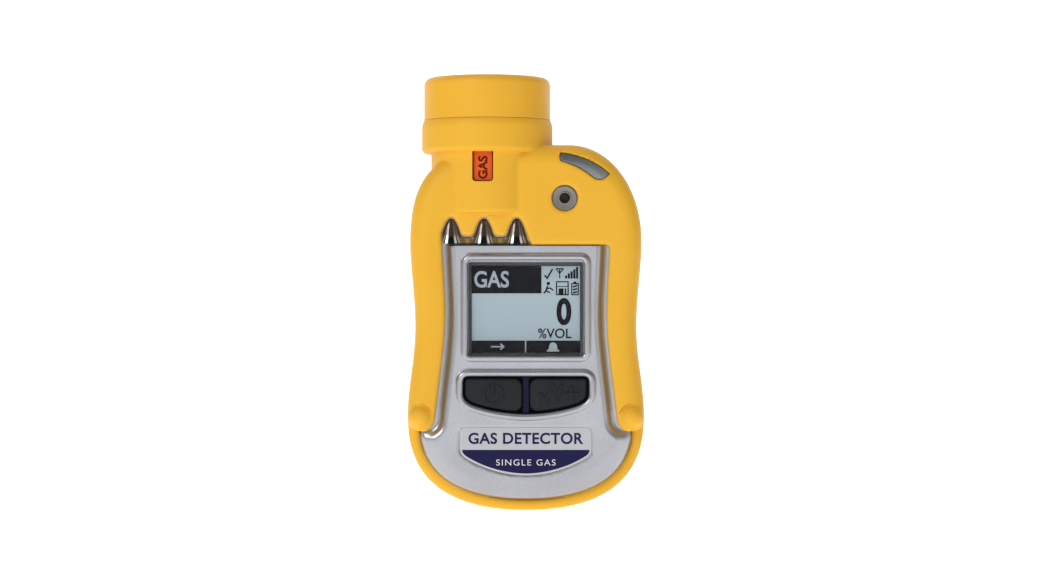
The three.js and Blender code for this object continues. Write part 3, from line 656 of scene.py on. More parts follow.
def front_case_field(x, y, z):
    """Distance to the front case: a rounded box with its sides let down, then the rims."""
    edge = body_edge(x, z) + CASE_INSET
    full = rounded_solid(edge, -y - FACE_Y, CASE_ROUND)
    side = np.maximum(full, -y - CASE_SIDE_Y)
    face = cut(full, -face_edge(x, z), 1.7)
    face = cut(face, WINDOW_TOP - GAP - z, 0.35)
    solid = united(side, face, 1.6)
    rim_y = y + FACE_Y - 0.2
    frame_line = rounded_box(x, z, (-16.05, 40.1), (16.05, 66.7), 1.6)
    solid = united(solid, np.hypot(frame_line, rim_y) - RIM_R, 0.3)
    solid = united(solid, np.hypot(key_edge(x, z) - 0.9, rim_y) - RIM_R, 0.3)
    window = rounded_box(x, z, (-15.2, 40.8), (15.2, 65.9), 0.9)
    solid = cut(solid, np.maximum(window, y + 11.1), 0.25)
    solid = cut(solid, np.maximum(key_edge(x, z), y + 8), 0.3)
    plate = np.maximum(plate_edge(x, z) - 0.2, y + FACE_Y - PLATE_RECESS)
    solid = cut(solid, plate, 0.12)
    hollow = rounded_solid(edge + CASE_WALL, np.abs(y) - CASE_SIDE_Y + CASE_WALL, 2.0)
    solid = cut(solid, hollow)
    solid = cut(solid, rounded_box(x, z, (-14.5, 41.3), (14.5, 64.7), 0.4))
    for place in screw_places:
        solid = united(solid, rod_y(x, y, z, place, 2.9, -9.8, -SPLIT))
        solid = cut(solid, rod_y(x, y, z, place, 1.5, -7.5, 1))
    solid = cut(solid, np.maximum(crescent_edge(x, z) - 0.1, y + 8.9))
    solid = cut(solid, rod_y(x, y, z, (SOUNDER_X, SOUNDER_Z), 1.5, -20, -8))
    for lamp_x in LAMP_XS:
        solid = cut(solid, rod_y(x, y, z, (lamp_x, 72.6), 1.3, -20, -8))
    solid = np.maximum(solid, y + SPLIT)
    return cut(solid, neck_room(x, y, z))


def silver_paint():
    """Silver paint on plastic: flakes of 0.15 mm that glint a little more or less."""
    paint = moulded(
        "silver_paint",
        (0.43, 0.44, 0.475),
        (0.37, 0.38, 0.415),
        (0.27, 0.37),
        2200,
        0.1,
        metallic=0.85,
    )
    nodes, links = paint.node_tree.nodes, paint.node_tree.links
    place, flakes = nodes.new("ShaderNodeTexCoord"), nodes.new("ShaderNodeTexVoronoi")
    flakes.inputs["Scale"].default_value = 6500
    glint, sparkle = nodes.new("ShaderNodeMapRange"), nodes.new("ShaderNodeMix")
    glint.inputs["To Min"].default_value = 0.88
    glint.inputs["To Max"].default_value = 1.15
    sparkle.data_type, sparkle.blend_type = "RGBA", "MULTIPLY"
    sparkle.inputs["Factor"].default_value = 1
    links.new(place.outputs["Object"], flakes.inputs["Vector"])
    links.new(flakes.outputs["Color"], glint.inputs["Value"])
    links.new(nodes["tint"].outputs["Result"], sparkle.inputs["A"])
    links.new(glint.outputs["Result"], sparkle.inputs["B"])
    links.new(sparkle.outputs["Result"], nodes["Principled BSDF"].inputs["Base Color"])
    return paint


silver = silver_paint()
case_low, case_high = extent("front_case")
add_piece(
    "case_front",
    *contoured(front_case_field, case_low, case_high, 0.42),
    silver,
    replaced=["front_case"],
)


# ---- Display
# A clear pane glued in the rim's recess, over a reflective liquid crystal cell. The picture's
# dark parts are the cell's own segments, so they stand just proud of its face.
def rounded(corners, radius, steps=5):
    """Points of a section of (across, along) corners, each rounded by an arc of the radius."""
    corners = np.array(corners, float)
    points = []
    for before, here, after in zip(np.roll(corners, 1, 0), corners, np.roll(corners, -1, 0)):
        a, b = before - here, after - here
        reach = min(radius, 0.45 * np.linalg.norm(a), 0.45 * np.linalg.norm(b))
        a, b = here + reach * a / np.linalg.norm(a), here + reach * b / np.linalg.norm(b)
        t = np.linspace(0, 1, steps)[:, None]
        points.append((1 - t) ** 2 * a + 2 * (1 - t) * t * here + t**2 * b)
    return np.concatenate(points)


def shrunk(outline, amount):
    """An outline moved inwards along its own normals."""
    along = np.roll(outline, -1, 0) - np.roll(outline, 1, 0)
    along /= np.linalg.norm(along, axis=1, keepdims=True)
    after = np.roll(outline, -1, 0)
    area = np.sum(outline[:, 0] * after[:, 1] - outline[:, 1] * after[:, 0])
    inward = np.stack([-along[:, 1], along[:, 0]], axis=1) * np.sign(area)
    return outline + amount * inward


def slab(outline, front, back, edge=0.2, steps=4):
    """A plate of the given (x, z) outline from y = front to y = back.

    Its front edge is a quarter circle: the outline shrinks by edge times 1 - cos(a) as y comes
    forward by edge times sin(a).
    """
    angle = np.linspace(0, math.pi / 2, steps)
    toward = np.sign(front - back)
    shrink = np.concatenate([[0], edge * (1 - np.cos(angle))])
    depth = np.concatenate([[back], front - toward * edge * (1 - np.sin(angle))])
    rings = np.stack([shrunk(outline, amount) for amount in shrink])
    count, columns = len(depth), len(outline)
    y = np.broadcast_to(depth[:, None, None], (count, columns, 1))
    points = np.concatenate([rings[..., :1], y, rings[..., 1:]], axis=2).reshape(-1, 3)
    faces = [list(face) for face in strip_faces(count, columns, closed=True)]
    faces.append(list(range(columns))[::-1])
    faces.append(list(range((count - 1) * columns, count * columns)))
    return points, faces


def box_outline(x0, x1, z0, z1, radius):
    """A rectangle with rounded corners, counter-clockwise."""
    return rounded([(x0, z0), (x1, z0), (x1, z1), (x0, z1)], radius)


def stroke(points, width):
    """Outline of a line of the given width through points, with square ends."""
    points = np.array(points, float)
    step = np.diff(points, axis=0)
    step /= np.linalg.norm(step, axis=1, keepdims=True)
    sides = np.stack([-step[:, 1], step[:, 0]], axis=1)
    corner = np.concatenate([sides[:1], sides[:-1] + sides[1:], sides[-1:]])
    corner /= np.maximum(np.sum(corner * np.concatenate([sides, sides[-1:]]), 1), 0.3)[:, None]
    return np.concatenate([points - 0.5 * width * corner, (points + 0.5 * width * corner)[::-1]])


def joined(parts):
    """One list of vertices and one of faces from several."""
    vertices, faces, count = [], [], 0
    for points, polygons in parts:
        vertices.append(np.asarray(points, float))
        faces += [[i + count for i in polygon] for polygon in polygons]
        count += len(points)
    return np.concatenate(vertices), faces


def lettering(words, height, centre, front, back, stretch=1.0, weight=0.0, spacing=1.0):
    """Solid capitals of a height in millimetres, about a centre (x, z).

    stretch widens them, weight thickens their strokes and spacing sets them apart.
    """
    curve = bpy.data.curves.new("words", "FONT")
    curve.body, curve.size, curve.space_character = words, 1.0, spacing
    curve.resolution_u = 6
    curve.offset = weight
    curve.extrude = 0.5
    text = bpy.data.objects.new("words", curve)
    bpy.context.scene.collection.objects.link(text)
    bpy.context.view_layer.update()
    mesh = bpy.data.meshes.new_from_object(text)
    places = np.zeros(len(mesh.vertices) * 3)
    mesh.vertices.foreach_get("co", places)
    places = places.reshape(-1, 3)
    faces = [list(face.vertices) for face in mesh.polygons]
    bpy.data.objects.remove(text)
    bpy.data.meshes.remove(mesh)
    low, high = places.min(0), places.max(0)
    size = height / (high[1] - low[1])
    x = centre[0] + (places[:, 0] - 0.5 * (low[0] + high[0])) * size * stretch
    z = centre[1] + (places[:, 1] - 0.5 * (low[1] + high[1])) * size
    y = np.where(places[:, 2] > 0, front, back)
    return np.stack([x, y, z], axis=1), faces


cell_face = extent("display_module")[0][1]
INK_Y = (cell_face - 0.06, cell_face + 0.02)
PALE_Y = (cell_face - 0.12, cell_face + 0.02)


def ink(*outlines):
    """Thin solid segments on the cell's face."""
    return [slab(np.array(outline, float), *INK_Y, edge=0.01, steps=2) for outline in outlines]


def bar(x0, x1, z0, z1):
    """A plain rectangle."""
    return [(x0, z0), (x1, z0), (x1, z1), (x0, z1)]


def ring_of(centre, radius, count=24, squash=1.0):
    """A circle, or an ellipse squashed upwards."""
    a = np.linspace(0, 2 * math.pi, count, endpoint=False)
    return np.stack([centre[0] + radius * np.cos(a), centre[1] + squash * radius * np.sin(a)], 1)


def display_picture():
    """Dark and pale parts of the picture: header, state icons, reading, unit and soft keys."""
    dark = ink(
        bar(-14.2, 4.1, 57.2, 64.4),
        bar(-14.2, -0.25, 41.6, 44.8),
        bar(0.1, 14.2, 41.6, 44.8),
        stroke([(4.9, 62.0), (5.6, 61.2), (7.0, 63.6)], 0.42),
    )
    dark += ink(
        stroke([(8.9, 61.2), (8.9, 63.7)], 0.3),
        stroke([(7.9, 63.7), (8.9, 62.5), (9.9, 63.7)], 0.26),
        stroke([(7.9, 63.7), (9.9, 63.7)], 0.26),
    )
    dark += ink(*(bar(10.3 + 0.72 * i, 10.85 + 0.72 * i, 61.1, 61.9 + 0.55 * i) for i in range(5)))
    dark += ink(
        ring_of((5.9, 59.8), 0.45, 12),
        stroke([(5.7, 59.2), (5.3, 57.9), (4.7, 57.2)], 0.42),
        stroke([(5.3, 58.4), (6.4, 58.6), (7.2, 58.0)], 0.36),
        stroke([(5.3, 57.9), (6.3, 57.4)], 0.36),
    )
    dark += ink(
        bar(7.9, 8.2, 56.7, 60.4),
        bar(10.95, 11.25, 56.7, 60.4),
        bar(8.2, 10.95, 60.1, 60.4),
        bar(8.2, 10.95, 56.7, 57.0),
        bar(8.2, 10.95, 58.9, 59.1),
        bar(8.6, 9.9, 57.0, 58.5),
        bar(10.2, 10.6, 57.0, 58.5),
    )
    dark += ink(
        bar(11.9, 12.2, 56.7, 59.9),
        bar(13.6, 13.9, 56.7, 59.9),
        bar(12.2, 13.6, 56.7, 57.0),
        bar(12.2, 13.6, 59.6, 59.9),
        bar(12.5, 13.3, 59.9, 60.3),
        *(stroke([(12.35, z), (13.45, z + 0.35)], 0.4) for z in (57.3, 58.1, 58.9)),
    )
    dark.append(lettering("0", 7.2, (10.0, 52.4), *INK_Y, stretch=0.82, weight=0.035))
    dark.append(lettering("%VOL", 2.6, (7.6, 46.7), *INK_Y, stretch=0.95, weight=0.012))
    pale = [lettering("GAS", 4.4, (-9.0, 60.9), *PALE_Y, stretch=0.84, weight=0.02)]
    arrow = [
        stroke([(-9.2, 43.2), (-5.9, 43.2)], 0.34),
        stroke([(-6.7, 44.0), (-5.8, 43.2), (-6.7, 42.4)], 0.34),
    ]
    bell = curve_through(
        (5.5, 41.9),
        [(8.8, 41.9)],
        [(8.8, 42.2)],
        [(8.3, 42.6)],
        [(8.2, 43.3)],
        [(8.1, 44.7), (6.2, 44.7), (6.1, 43.3)],
        [(6.0, 42.6)],
        [(5.5, 42.2)],
        [(5.5, 41.9)],
        steps=8,
    )
    pale += [slab(np.array(shape), *PALE_Y, edge=0.01, steps=2) for shape in (*arrow, bell)]
    return joined(dark), joined(pale)


def by_height(material, values, low_high, colours):
    """Colours a material by height.

    values run from 0 at the first height in millimetres to 1 at the second, one a colour.
    """
    nodes, links = material.node_tree.nodes, material.node_tree.links
    place, split = nodes.new("ShaderNodeTexCoord"), nodes.new("ShaderNodeSeparateXYZ")
    level, ramp = nodes.new("ShaderNodeMapRange"), nodes.new("ShaderNodeValToRGB")
    level.inputs["From Min"].default_value = low_high[0] * MM
    level.inputs["From Max"].default_value = low_high[1] * MM
    ramp.color_ramp.elements.remove(ramp.color_ramp.elements[1])
    for i, (value, colour) in enumerate(zip(values, colours)):
        stop = ramp.color_ramp.elements[0] if i == 0 else ramp.color_ramp.elements.new(value)
        stop.position, stop.color = value, (*colour, 1)
    links.new(place.outputs["Object"], split.inputs["Vector"])
    links.new(split.outputs["Z"], level.inputs["Value"])
    links.new(level.outputs["Result"], ramp.inputs["Fac"])
    links.new(ramp.outputs["Color"], nodes["Principled BSDF"].inputs["Base Color"])
    return ramp


pane_glass = moulded(
    "pane_glass", (0.02, 0.022, 0.025), (0.025, 0.027, 0.03), (0.05, 0.09), 900, 0.02, Alpha=0.06
)
pane = box_outline(pane_low[0], pane_high[0], pane_low[2], pane_high[2], 0.8)
add_piece(
    "display_pane",
    *slab(pane, pane_low[1], pane_high[1], 0.15),
    pane_glass,
    replaced=["display_window"],
    merge=True,
)
DISPLAY_Z = 52.95
border = [
    box_outline(-wide, wide, DISPLAY_Z - tall, DISPLAY_Z + tall, 0.6)
    for wide, tall in ((15.1, 12.45), (14.4, 11.65))
]
gasket = moulded("pane_gasket", (0.05, 0.052, 0.056), (0.07, 0.072, 0.076), (0.4, 0.55), 3000, 0.2)
back, front = -11.12, -11.36
rings = ((0, back), (0, front), (1, front), (1, back), (0, back))
walls = np.concatenate([np.insert(border[i], 1, y, axis=1) for i, y in rings])
add_piece(
    "display_gasket",
    walls,
    strip_faces(5, len(border[0]), closed=True),
    gasket,
    slot="seal_rubber",
    merge=True,
)
cell_glass = moulded(
    "cell_glass", (0.40, 0.50, 0.56), (0.36, 0.46, 0.52), (0.30, 0.38), 3000, 0.05
)
# Painted shade: the cell's colour darkens towards its bottom and top edges next to the rim, and is
# lightest across its middle.
by_height(
    cell_glass,
    (0.0, 0.3, 0.75, 1.0),
    (41, 65),
    ((0.34, 0.42, 0.47), (0.43, 0.54, 0.61), (0.46, 0.58, 0.65), (0.37, 0.46, 0.52)),
)


def finish_node(node, material):
    """Gives a CAD node a material."""
    obj = frame["nodes"][node]
    if not obj.material_slots:
        obj.data.materials.append(material)
    for slot in obj.material_slots:
        slot.material = material


finish_node("display_module", cell_glass)
dark_ink = moulded(
    "dark_segments",
    (0.008, 0.009, 0.012),
    (0.012, 0.013, 0.017),
    (0.5, 0.6),
    3000,
    0.1,
    Specular_IOR_Level=0.05,
)
pale_ink = moulded("pale_segments", (0.42, 0.50, 0.55), (0.38, 0.46, 0.51), (0.4, 0.5), 3000, 0.1)
dark_parts, pale_parts = display_picture()
add_piece("display_dark_segments", *dark_parts, dark_ink, slot="lcd", merge=True)
add_piece("display_pale_segments", *pale_parts, pale_ink, slot="lcd", merge=True)


# ---- Keys
# Two black silicone rubber keys in a black frame, each with a raised legend.
KEY_GAP = 0.55
KEY_ROUND = 0.7
key_low = extent("power_key")[0]


def capsule(x, z, a, b, radius):
    """Distance to a line from a to b with round ends."""
    (ax, az), (bx, bz) = a, b
    ex, ez = bx - ax, bz - az
    share = np.clip(((x - ax) * ex + (z - az) * ez) / (ex * ex + ez * ez), 0, 1)
    return np.hypot(x - ax - share * ex, z - az - share * ez) - radius


def power_legend(x, z):
    """A ring open at its top, with a bar through the opening."""
    cx, cz = -8.6, 30.7
    ring = np.abs(np.hypot(x - cx, z - cz) - 2.5) - 0.3
    ring = np.maximum(ring, -capsule(x, z, (cx, cz), (cx, cz + 3), 0.75))
    return united(ring, capsule(x, z, (cx, cz + 0.3), (cx, cz + 2.7), 0.3))


def select_legend(x, z):
    """A tick, a slash and a plus."""
    marks = [
        ((3.7, 30.9), (5.0, 28.9)),
        ((5.0, 28.9), (7.2, 33.0)),
        ((7.8, 28.7), (9.4, 33.1)),
        ((10.3, 30.9), (13.7, 30.9)),
        ((12.0, 29.2), (12.0, 32.6)),
    ]
    return np.minimum.reduce([capsule(x, z, a, b, 0.34) for a, b in marks])


def key_field(sign, legend):
    """Field of a key: a rounded pad with a flange behind, a post, and its legend raised."""

    def field(x, y, z):
        """Distance to the key on the side given by the sign."""
        outline = rounded_solid(key_edge(x, z) + KEY_GAP, 1.0 - sign * x, 2.2)
        crown = 0.25 * ((x - sign * 8.6) / 8) ** 2 + 0.25 * ((z - 30.8) / 5) ** 2
        front = -y + key_low[1] + np.minimum(crown, 0.5)
        pad = np.maximum(rounded_solid(outline, front, KEY_ROUND), y + 8.3)
        raised = rounded_solid(legend(x, z), front - 0.4, 0.15)
        pad = united(pad, np.maximum(raised, y + 10), 0.08)
        flange = rounded_solid(key_edge(x, z) + 0.05, 0.5 - sign * x, 1.6)
        pad = united(pad, np.maximum(flange, np.abs(y + 8.05) - 0.35))
        return united(pad, rod_y(x, y, z, (sign * 8.6, 31), 1.4, -8, -7.25))

    return field


key_rubber = moulded(
    "key_rubber",
    (0.009, 0.011, 0.014),
    (0.016, 0.019, 0.022),
    (0.5, 0.65),
    2600,
    1.0,
    Specular_IOR_Level=0.22,
)
for key, sign, legend in (("power_key", -1, power_legend), ("select_key", 1, select_legend)):
    low, high = extent(key)
    add_piece(
        f"{key}_pad",
        *contoured(key_field(sign, legend), low - (0, 0.45, 0), high, 0.17),
        key_rubber,
        body=key,
        replaced=[key],
    )


# ---- Nameplate
# A printed foil plate let into the case: silver above, a navy field below, with plain words.
FIELD_Z = 16.2
plate_foil = moulded("plate_foil", (0.55, 0.56, 0.58), (0.48, 0.49, 0.51), (0.3, 0.4), 2500, 0.08)
plate_print = moulded(
    "plate_print",
    (0.5, 0.5, 0.5),
    (0.5, 0.5, 0.5),
    (0.4, 0.5),
    2500,
    0.08,
    Specular_IOR_Level=0.2,
)
by_height(
    plate_print,
    (0.0, 0.5),
    (FIELD_Z - 1, FIELD_Z + 1),
    ((0.004, 0.004, 0.055), (0.50, 0.51, 0.54)),
).color_ramp.interpolation = "CONSTANT"
plate_face = -FACE_Y - 0.02
print_y = (plate_face - 0.04, plate_face + 0.02)
add_piece(
    "nameplate_foil",
    *slab(plate_outline(), plate_face, plate_face + PLATE_RECESS - 0.05, 0.06),
    plate_foil,
    replaced=["nameplate"],
    merge=True,
)
printed = slab(shrunk(plate_outline(), 0.5), *print_y, edge=0.01, steps=2)
add_piece("nameplate_print", *printed, plate_print, slot="nameplate_foil", merge=True)
words_y = (plate_face - 0.07, plate_face)
navy_ink = moulded(
    "navy_ink",
    (0.006, 0.006, 0.06),
    (0.008, 0.008, 0.07),
    (0.4, 0.5),
    2500,
    0.05,
    Specular_IOR_Level=0.2,
)
white_ink = moulded("white_ink", (0.72, 0.73, 0.75), (0.68, 0.69, 0.71), (0.35, 0.45), 2500, 0.05)
title = lettering("GAS DETECTOR", 3.0, (0, 19.2), *words_y, weight=0.025, spacing=1.05)
add_piece("nameplate_title", *title, navy_ink, slot="nameplate_foil", merge=True)
line = lettering("SINGLE GAS", 1.6, (0, 12.9), *words_y, stretch=1.1, spacing=1.2)
add_piece("nameplate_line", *line, white_ink, slot="nameplate_foil", merge=True)


# ---- Alarm lamps
# A strip of metallised clear plastic with three pointed domes that carry the lamps' light. Its
# colour is painted reflections.
def lamp_field(x, y, z):
    """Distance to the lamp bar: three pointed domes, flared low down, on a flat strip."""
    foot, tip = WINDOW_TOP + 0.35, LAMP_TIP_Z - 0.25
    seat = -(CASE_SIDE_Y + GAP)
    share = np.clip((z - foot) / (tip - foot), 0, 1)
    radius = 2.75 * np.sqrt(np.maximum(1 - share**1.5, 0)) + 0.35 * (1 - share) ** 5
    solid = np.inf
    for lamp_x in LAMP_XS:
        dome = 0.7 * (np.hypot(x - lamp_x, 1.45 * (y - seat)) - radius)
        solid = united(solid, dome, 0.4)
    strip = np.maximum(z - LAMP_VALLEY_Z + 0.25, np.abs(x - LAMP_XS[1] + 0.6) - 11.2)
    strip = rounded_solid(strip, seat - 0.7 - y, 0.3)
    solid = united(solid, strip, 0.9)
    inside = window_edge(x, z) + 0.22
    solid = np.maximum(np.maximum(solid, inside), foot - z)
    return np.maximum(np.maximum(solid, y - seat), z - tip)


def metal_with_painted_reflections():
    """Metal under clear plastic, coloured with painted reflections: bright streaks beside each
    dome's dark core, brown above.

    The streaks come from the distance across to the nearest dome's axis, in half pitches,
    stretched with height as the dome narrows.
    """
    metal = moulded(
        "lamp_metal_painted_reflections",
        (0.6, 0.6, 0.62),
        (0.5, 0.5, 0.5),
        (0.12, 0.2),
        1500,
        0.05,
        metallic=0.45,
    )
    nodes, links = metal.node_tree.nodes, metal.node_tree.links
    place, split = nodes.new("ShaderNodeTexCoord"), nodes.new("ShaderNodeSeparateXYZ")
    shift, fold = nodes.new("ShaderNodeMath"), nodes.new("ShaderNodeMath")
    painted_reflection_streaks, level = nodes.new("ShaderNodeValToRGB"), nodes.new("ShaderNodeMapRange")
    foot, blend = nodes.new("ShaderNodeValToRGB"), nodes.new("ShaderNodeMix")
    shift.operation, fold.operation = "SUBTRACT", "PINGPONG"
    shift.inputs[1].default_value = LAMP_XS[0] * MM
    fold.inputs[1].default_value = 0.5 * LAMP_PITCH * MM
    reach = nodes.new("ShaderNodeMapRange")
    reach.inputs["From Max"].default_value = 0.5 * LAMP_PITCH * MM
    # Painted reflections: the dark core and the bright streaks stand for the surroundings mirrored
    # in each dome.
    stops = (
        (0.0, (0.006, 0.006, 0.008)),
        (0.21, (0.01, 0.01, 0.012)),
        (0.27, (0.80, 0.80, 0.82)),
        (0.36, (0.75, 0.75, 0.76)),
        (0.42, (0.05, 0.035, 0.02)),
        (0.50, (0.04, 0.03, 0.02)),
        (0.55, (0.62, 0.60, 0.58)),
        (0.62, (0.16, 0.105, 0.04)),
        (1.0, (0.21, 0.14, 0.05)),
    )
    for i, (place_along, colour) in enumerate(stops):
        elements = painted_reflection_streaks.color_ramp.elements
        stop = elements[i] if i < 2 else elements.new(place_along)
        stop.position, stop.color = place_along, (*colour, 1)
    narrow, stretched = nodes.new("ShaderNodeMapRange"), nodes.new("ShaderNodeMath")
    narrow.inputs["To Min"].default_value = 1.0
    narrow.inputs["To Max"].default_value = 2.4
    stretched.operation = "MULTIPLY"
    level.inputs["From Min"].default_value = WINDOW_TOP * MM
    level.inputs["From Max"].default_value = LAMP_TIP_Z * MM
    marks = ((0.0, 0.0), (0.24, 0.0), (0.36, 0.75), (0.42, 0.85), (0.7, 0.85), (1.0, 0.9))
    for i, (place_along, share) in enumerate(marks):
        elements = foot.color_ramp.elements
        stop = elements[i] if i < 2 else elements.new(place_along)
        stop.position, stop.color = place_along, (share, share, share, 1)
    blend.data_type = "RGBA"
    # Painted reflection: higher up, each dome turns dark brown, standing for the yellow boot
    # mirrored in shade.
    blend.inputs["B"].default_value = (0.085, 0.06, 0.04, 1)
    links.new(place.outputs["Object"], split.inputs["Vector"])
    links.new(split.outputs["X"], shift.inputs[0])
    links.new(shift.outputs["Value"], fold.inputs[0])
    links.new(fold.outputs["Value"], reach.inputs["Value"])
    links.new(level.outputs["Result"], narrow.inputs["Value"])
    links.new(reach.outputs["Result"], stretched.inputs[0])
    links.new(narrow.outputs["Result"], stretched.inputs[1])
    links.new(stretched.outputs["Value"], painted_reflection_streaks.inputs["Fac"])
    links.new(split.outputs["Z"], level.inputs["Value"])
    links.new(level.outputs["Result"], foot.inputs["Fac"])
    links.new(foot.outputs["Color"], blend.inputs["Factor"])
    links.new(painted_reflection_streaks.outputs["Color"], blend.inputs["A"])
    links.new(blend.outputs["Result"], nodes["Principled BSDF"].inputs["Base Color"])
    return metal


lamp_painted_reflections = metal_with_painted_reflections()
lamp_low, lamp_high = extent("alarm_light_bar")
add_piece(
    "alarm_lamp_bar",
    *contoured(lamp_field, lamp_low - (1, 0.6, 0.2), lamp_high + (2, 0, 0.8), 0.16),
    lamp_painted_reflections,
    replaced=["alarm_light_bar"],
    crease=50,
)


# ---- Shoulder light
# A smoky lens in the boot's shoulder that shows the alarm lights from above.
def shoulder_lens_field(x, y, z):
    """Distance to the lens: the crescent, under a face half a millimetre inside the boot's."""
    face = rounded_solid(body_edge(x, z) + 0.45, np.abs(y) - boot_depth + 0.45, BOOT_ROUND - 0.4)
    solid = cut(face, -(crescent_edge(x, z) + 0.08), 0.5)
    return np.maximum(solid, y + 9.5)


smoke = moulded(
    "smoky_lens",
    (0.16, 0.17, 0.175),
    (0.22, 0.23, 0.235),
    (0.16, 0.26),
    900,
    0.05,
    Coat_Weight=0.6,
)
# Painted shade: the lens is darker towards its top, where the shoulder turns away from the light,
# and lighter low down.
by_height(
    smoke,
    (0.0, 0.55, 1.0),
    (85.8, 94.6),
    ((0.25, 0.27, 0.28), (0.13, 0.145, 0.15), (0.075, 0.085, 0.09)),
)
lens_low, lens_high = extent("shoulder_lens")
add_piece(
    "shoulder_light",
    *contoured(shoulder_lens_field, lens_low - 0.5, lens_high + 0.5, 0.25),
    smoke,
    replaced=["shoulder_lens"],
)


# ---- Sounder port
# A turned ring with a raised lip round its hole, and a woven membrane behind.
def turned(section, centre, along="y", count=96):
    """A closed section of (radius, distance) points turned about an axis through a centre."""
    section = np.asarray(list(section) + [section[0]], float)
    angle = np.linspace(0, 2 * math.pi, count, endpoint=False)
    radius, height = section[:, 0][:, None], section[:, 1][:, None]
    first, second = radius * np.cos(angle), radius * np.sin(angle)
    level = np.broadcast_to(height, first.shape)
    order = {"x": (level, first, second), "y": (first, level, second), "z": (first, second, level)}
    points = np.stack(order[along], axis=2).reshape(-1, 3) + np.array(centre)
    return points, strip_faces(len(section), count, closed=True)


ring_metal = moulded(
    "ring_metal", (0.26, 0.24, 0.22), (0.2, 0.185, 0.17), (0.3, 0.42), 2600, 0.3, metallic=0.6
)
ring_section = rounded(
    [
        (3.25, -11.35),
        (3.25, -12.75),
        (3.0, -12.95),
        (1.85, -12.75),
        (1.75, -13.05),
        (1.4, -13.05),
        (1.36, -11.35),
    ],
    0.12,
)
add_piece(
    "sounder_port_ring",
    *turned(ring_section, (SOUNDER_X, 0, SOUNDER_Z)),
    ring_metal,
    replaced=["sounder_ring"],
    merge=True,
)


# ---- Sensor tag
# An orange label on the neck that says what the sensor is for, read through the boot's window.
NECK_R = 12.6
TAG_R = 14.45
tag_middle = 0.5 * (tag_low + tag_high)


def tag_field(x, y, z):
    """Distance to the tag: a rounded tile of a tube round the neck."""
    tile = rounded_box(x, z, tag_low[[0, 2]], tag_high[[0, 2]] + (0, 1.6), 0.5)
    r = head_radius(x, y)
    return np.maximum(np.maximum(cut(r - TAG_R, -tile, 0.2), NECK_R + 0.3 - r), y)


tag_orange = moulded(
    "tag_orange",
    (0.76, 0.11, 0.008),
    (0.70, 0.095, 0.006),
    (0.4, 0.5),
    2400,
    0.1,
    Specular_IOR_Level=0.25,
)
add_piece(
    "sensor_tag_tile",
    *contoured(tag_field, tag_low - (0, 0.2, 0), tag_high + (0, 0.3, 1.8), 0.18),
    tag_orange,
    replaced=["sensor_tag"],
)
tag_ink = moulded(
    "tag_ink",
    (0.13, 0.012, 0.003),
    (0.11, 0.010, 0.002),
    (0.4, 0.5),
    2400,
    0.05,
    Specular_IOR_Level=0.08,
)
words, word_faces = lettering("GAS", 2.5, (0, 0), 0.05, -0.05, weight=0.035)
tag_x = tag_middle[0] - words[:, 2]
tag_y = -np.sqrt((TAG_R + words[:, 1]) ** 2 - (tag_x - HEAD_X) ** 2)
letters = np.stack([tag_x, tag_y, tag_middle[2] + 0.1 + words[:, 0]], axis=1)
add_piece("sensor_tag_letters", letters, word_faces, tag_ink, slot="tag_orange", merge=True)


# ---- Sensor neck
# A dark threaded tube that holds the sensor, with a flange at its foot held by the case.
THREAD_PITCH, THREAD_Z = 3.0, 105.2
NECK_BORE_R, NECK_Z = 11.0, 84.0
neck_low, neck_high = extent("sensor_neck")


def thread(x, y, z, root, crest, start, turns):
    """Distance to a ridge of trapezoid section, wound as a right-handed helix from z = start.

    Its height at an angle a is start + pitch * a / 2 pi, and its ends fade over 20 degrees.
    """
    r = head_radius(x, y)
    share = np.mod(np.arctan2(y, x - HEAD_X), 2 * math.pi) / (2 * math.pi)
    along = (r - 0.5 * (root + crest)) / (0.5 * (crest - root))
    ridge = np.inf
    for turn in range(math.ceil(turns)):
        t = share + turn
        off = np.abs(z - start - THREAD_PITCH * np.minimum(t, turns))
        fade = np.clip(np.minimum(t, turns - t) / 0.055, 0, 1)
        side = off - (0.5 - 0.15 * along) * fade
        ridge = np.minimum(ridge, np.maximum(side, (along - 2 * fade + 1) * 0.5))
    return np.maximum(ridge, -(along + 1) * 0.5)


def neck_field(x, y, z):
    """Distance to the neck: tube, flange and thread, less the bore, with a floor low down."""
    r = head_radius(x, y)
    middle, half = 0.5 * (neck_high[2] + NECK_Z), 0.5 * (neck_high[2] - NECK_Z)
    solid = rounded_solid(r - NECK_R, np.abs(z - middle) - half, 0.3)
    solid = united(solid, rounded_solid(r - NECK_R - 1, np.abs(z - NECK_Z - 1) - 1, 0.2), 0.2)
    solid = united(solid, thread(x, y, z, NECK_R - 0.3, NECK_R + 0.9, THREAD_Z, 1.25), 0.15)
    solid = cut(solid, r - NECK_BORE_R, 0.3)
    floor = np.maximum(np.abs(z - NECK_Z - 3.1) - 0.7, np.maximum(r - NECK_BORE_R - 0.3, 4.5 - r))
    return united(solid, floor, 0.3)


neck_plastic = moulded(
    "neck_plastic", (0.035, 0.037, 0.042), (0.045, 0.047, 0.052), (0.38, 0.5), 3000, 0.3
)
add_piece(
    "threaded_neck",
    *contoured(neck_field, neck_low, neck_high, 0.3),
    neck_plastic,
    replaced=["sensor_neck"],
)


# ---- Sensor cap
# A yellow screw cap of harder plastic, with a dished top, seven gas inlets and one turn of
# thread inside its skirt.
INLET_R, INLET_RING_R = 1.3, 5.0
CAP_R = 0.5 * (cap_high[0] - cap_low[0])
CAP_BORE_R = 13.9
CAP_TOP, CAP_FOOT = cap_high[2], cap_low[2] - 0.24


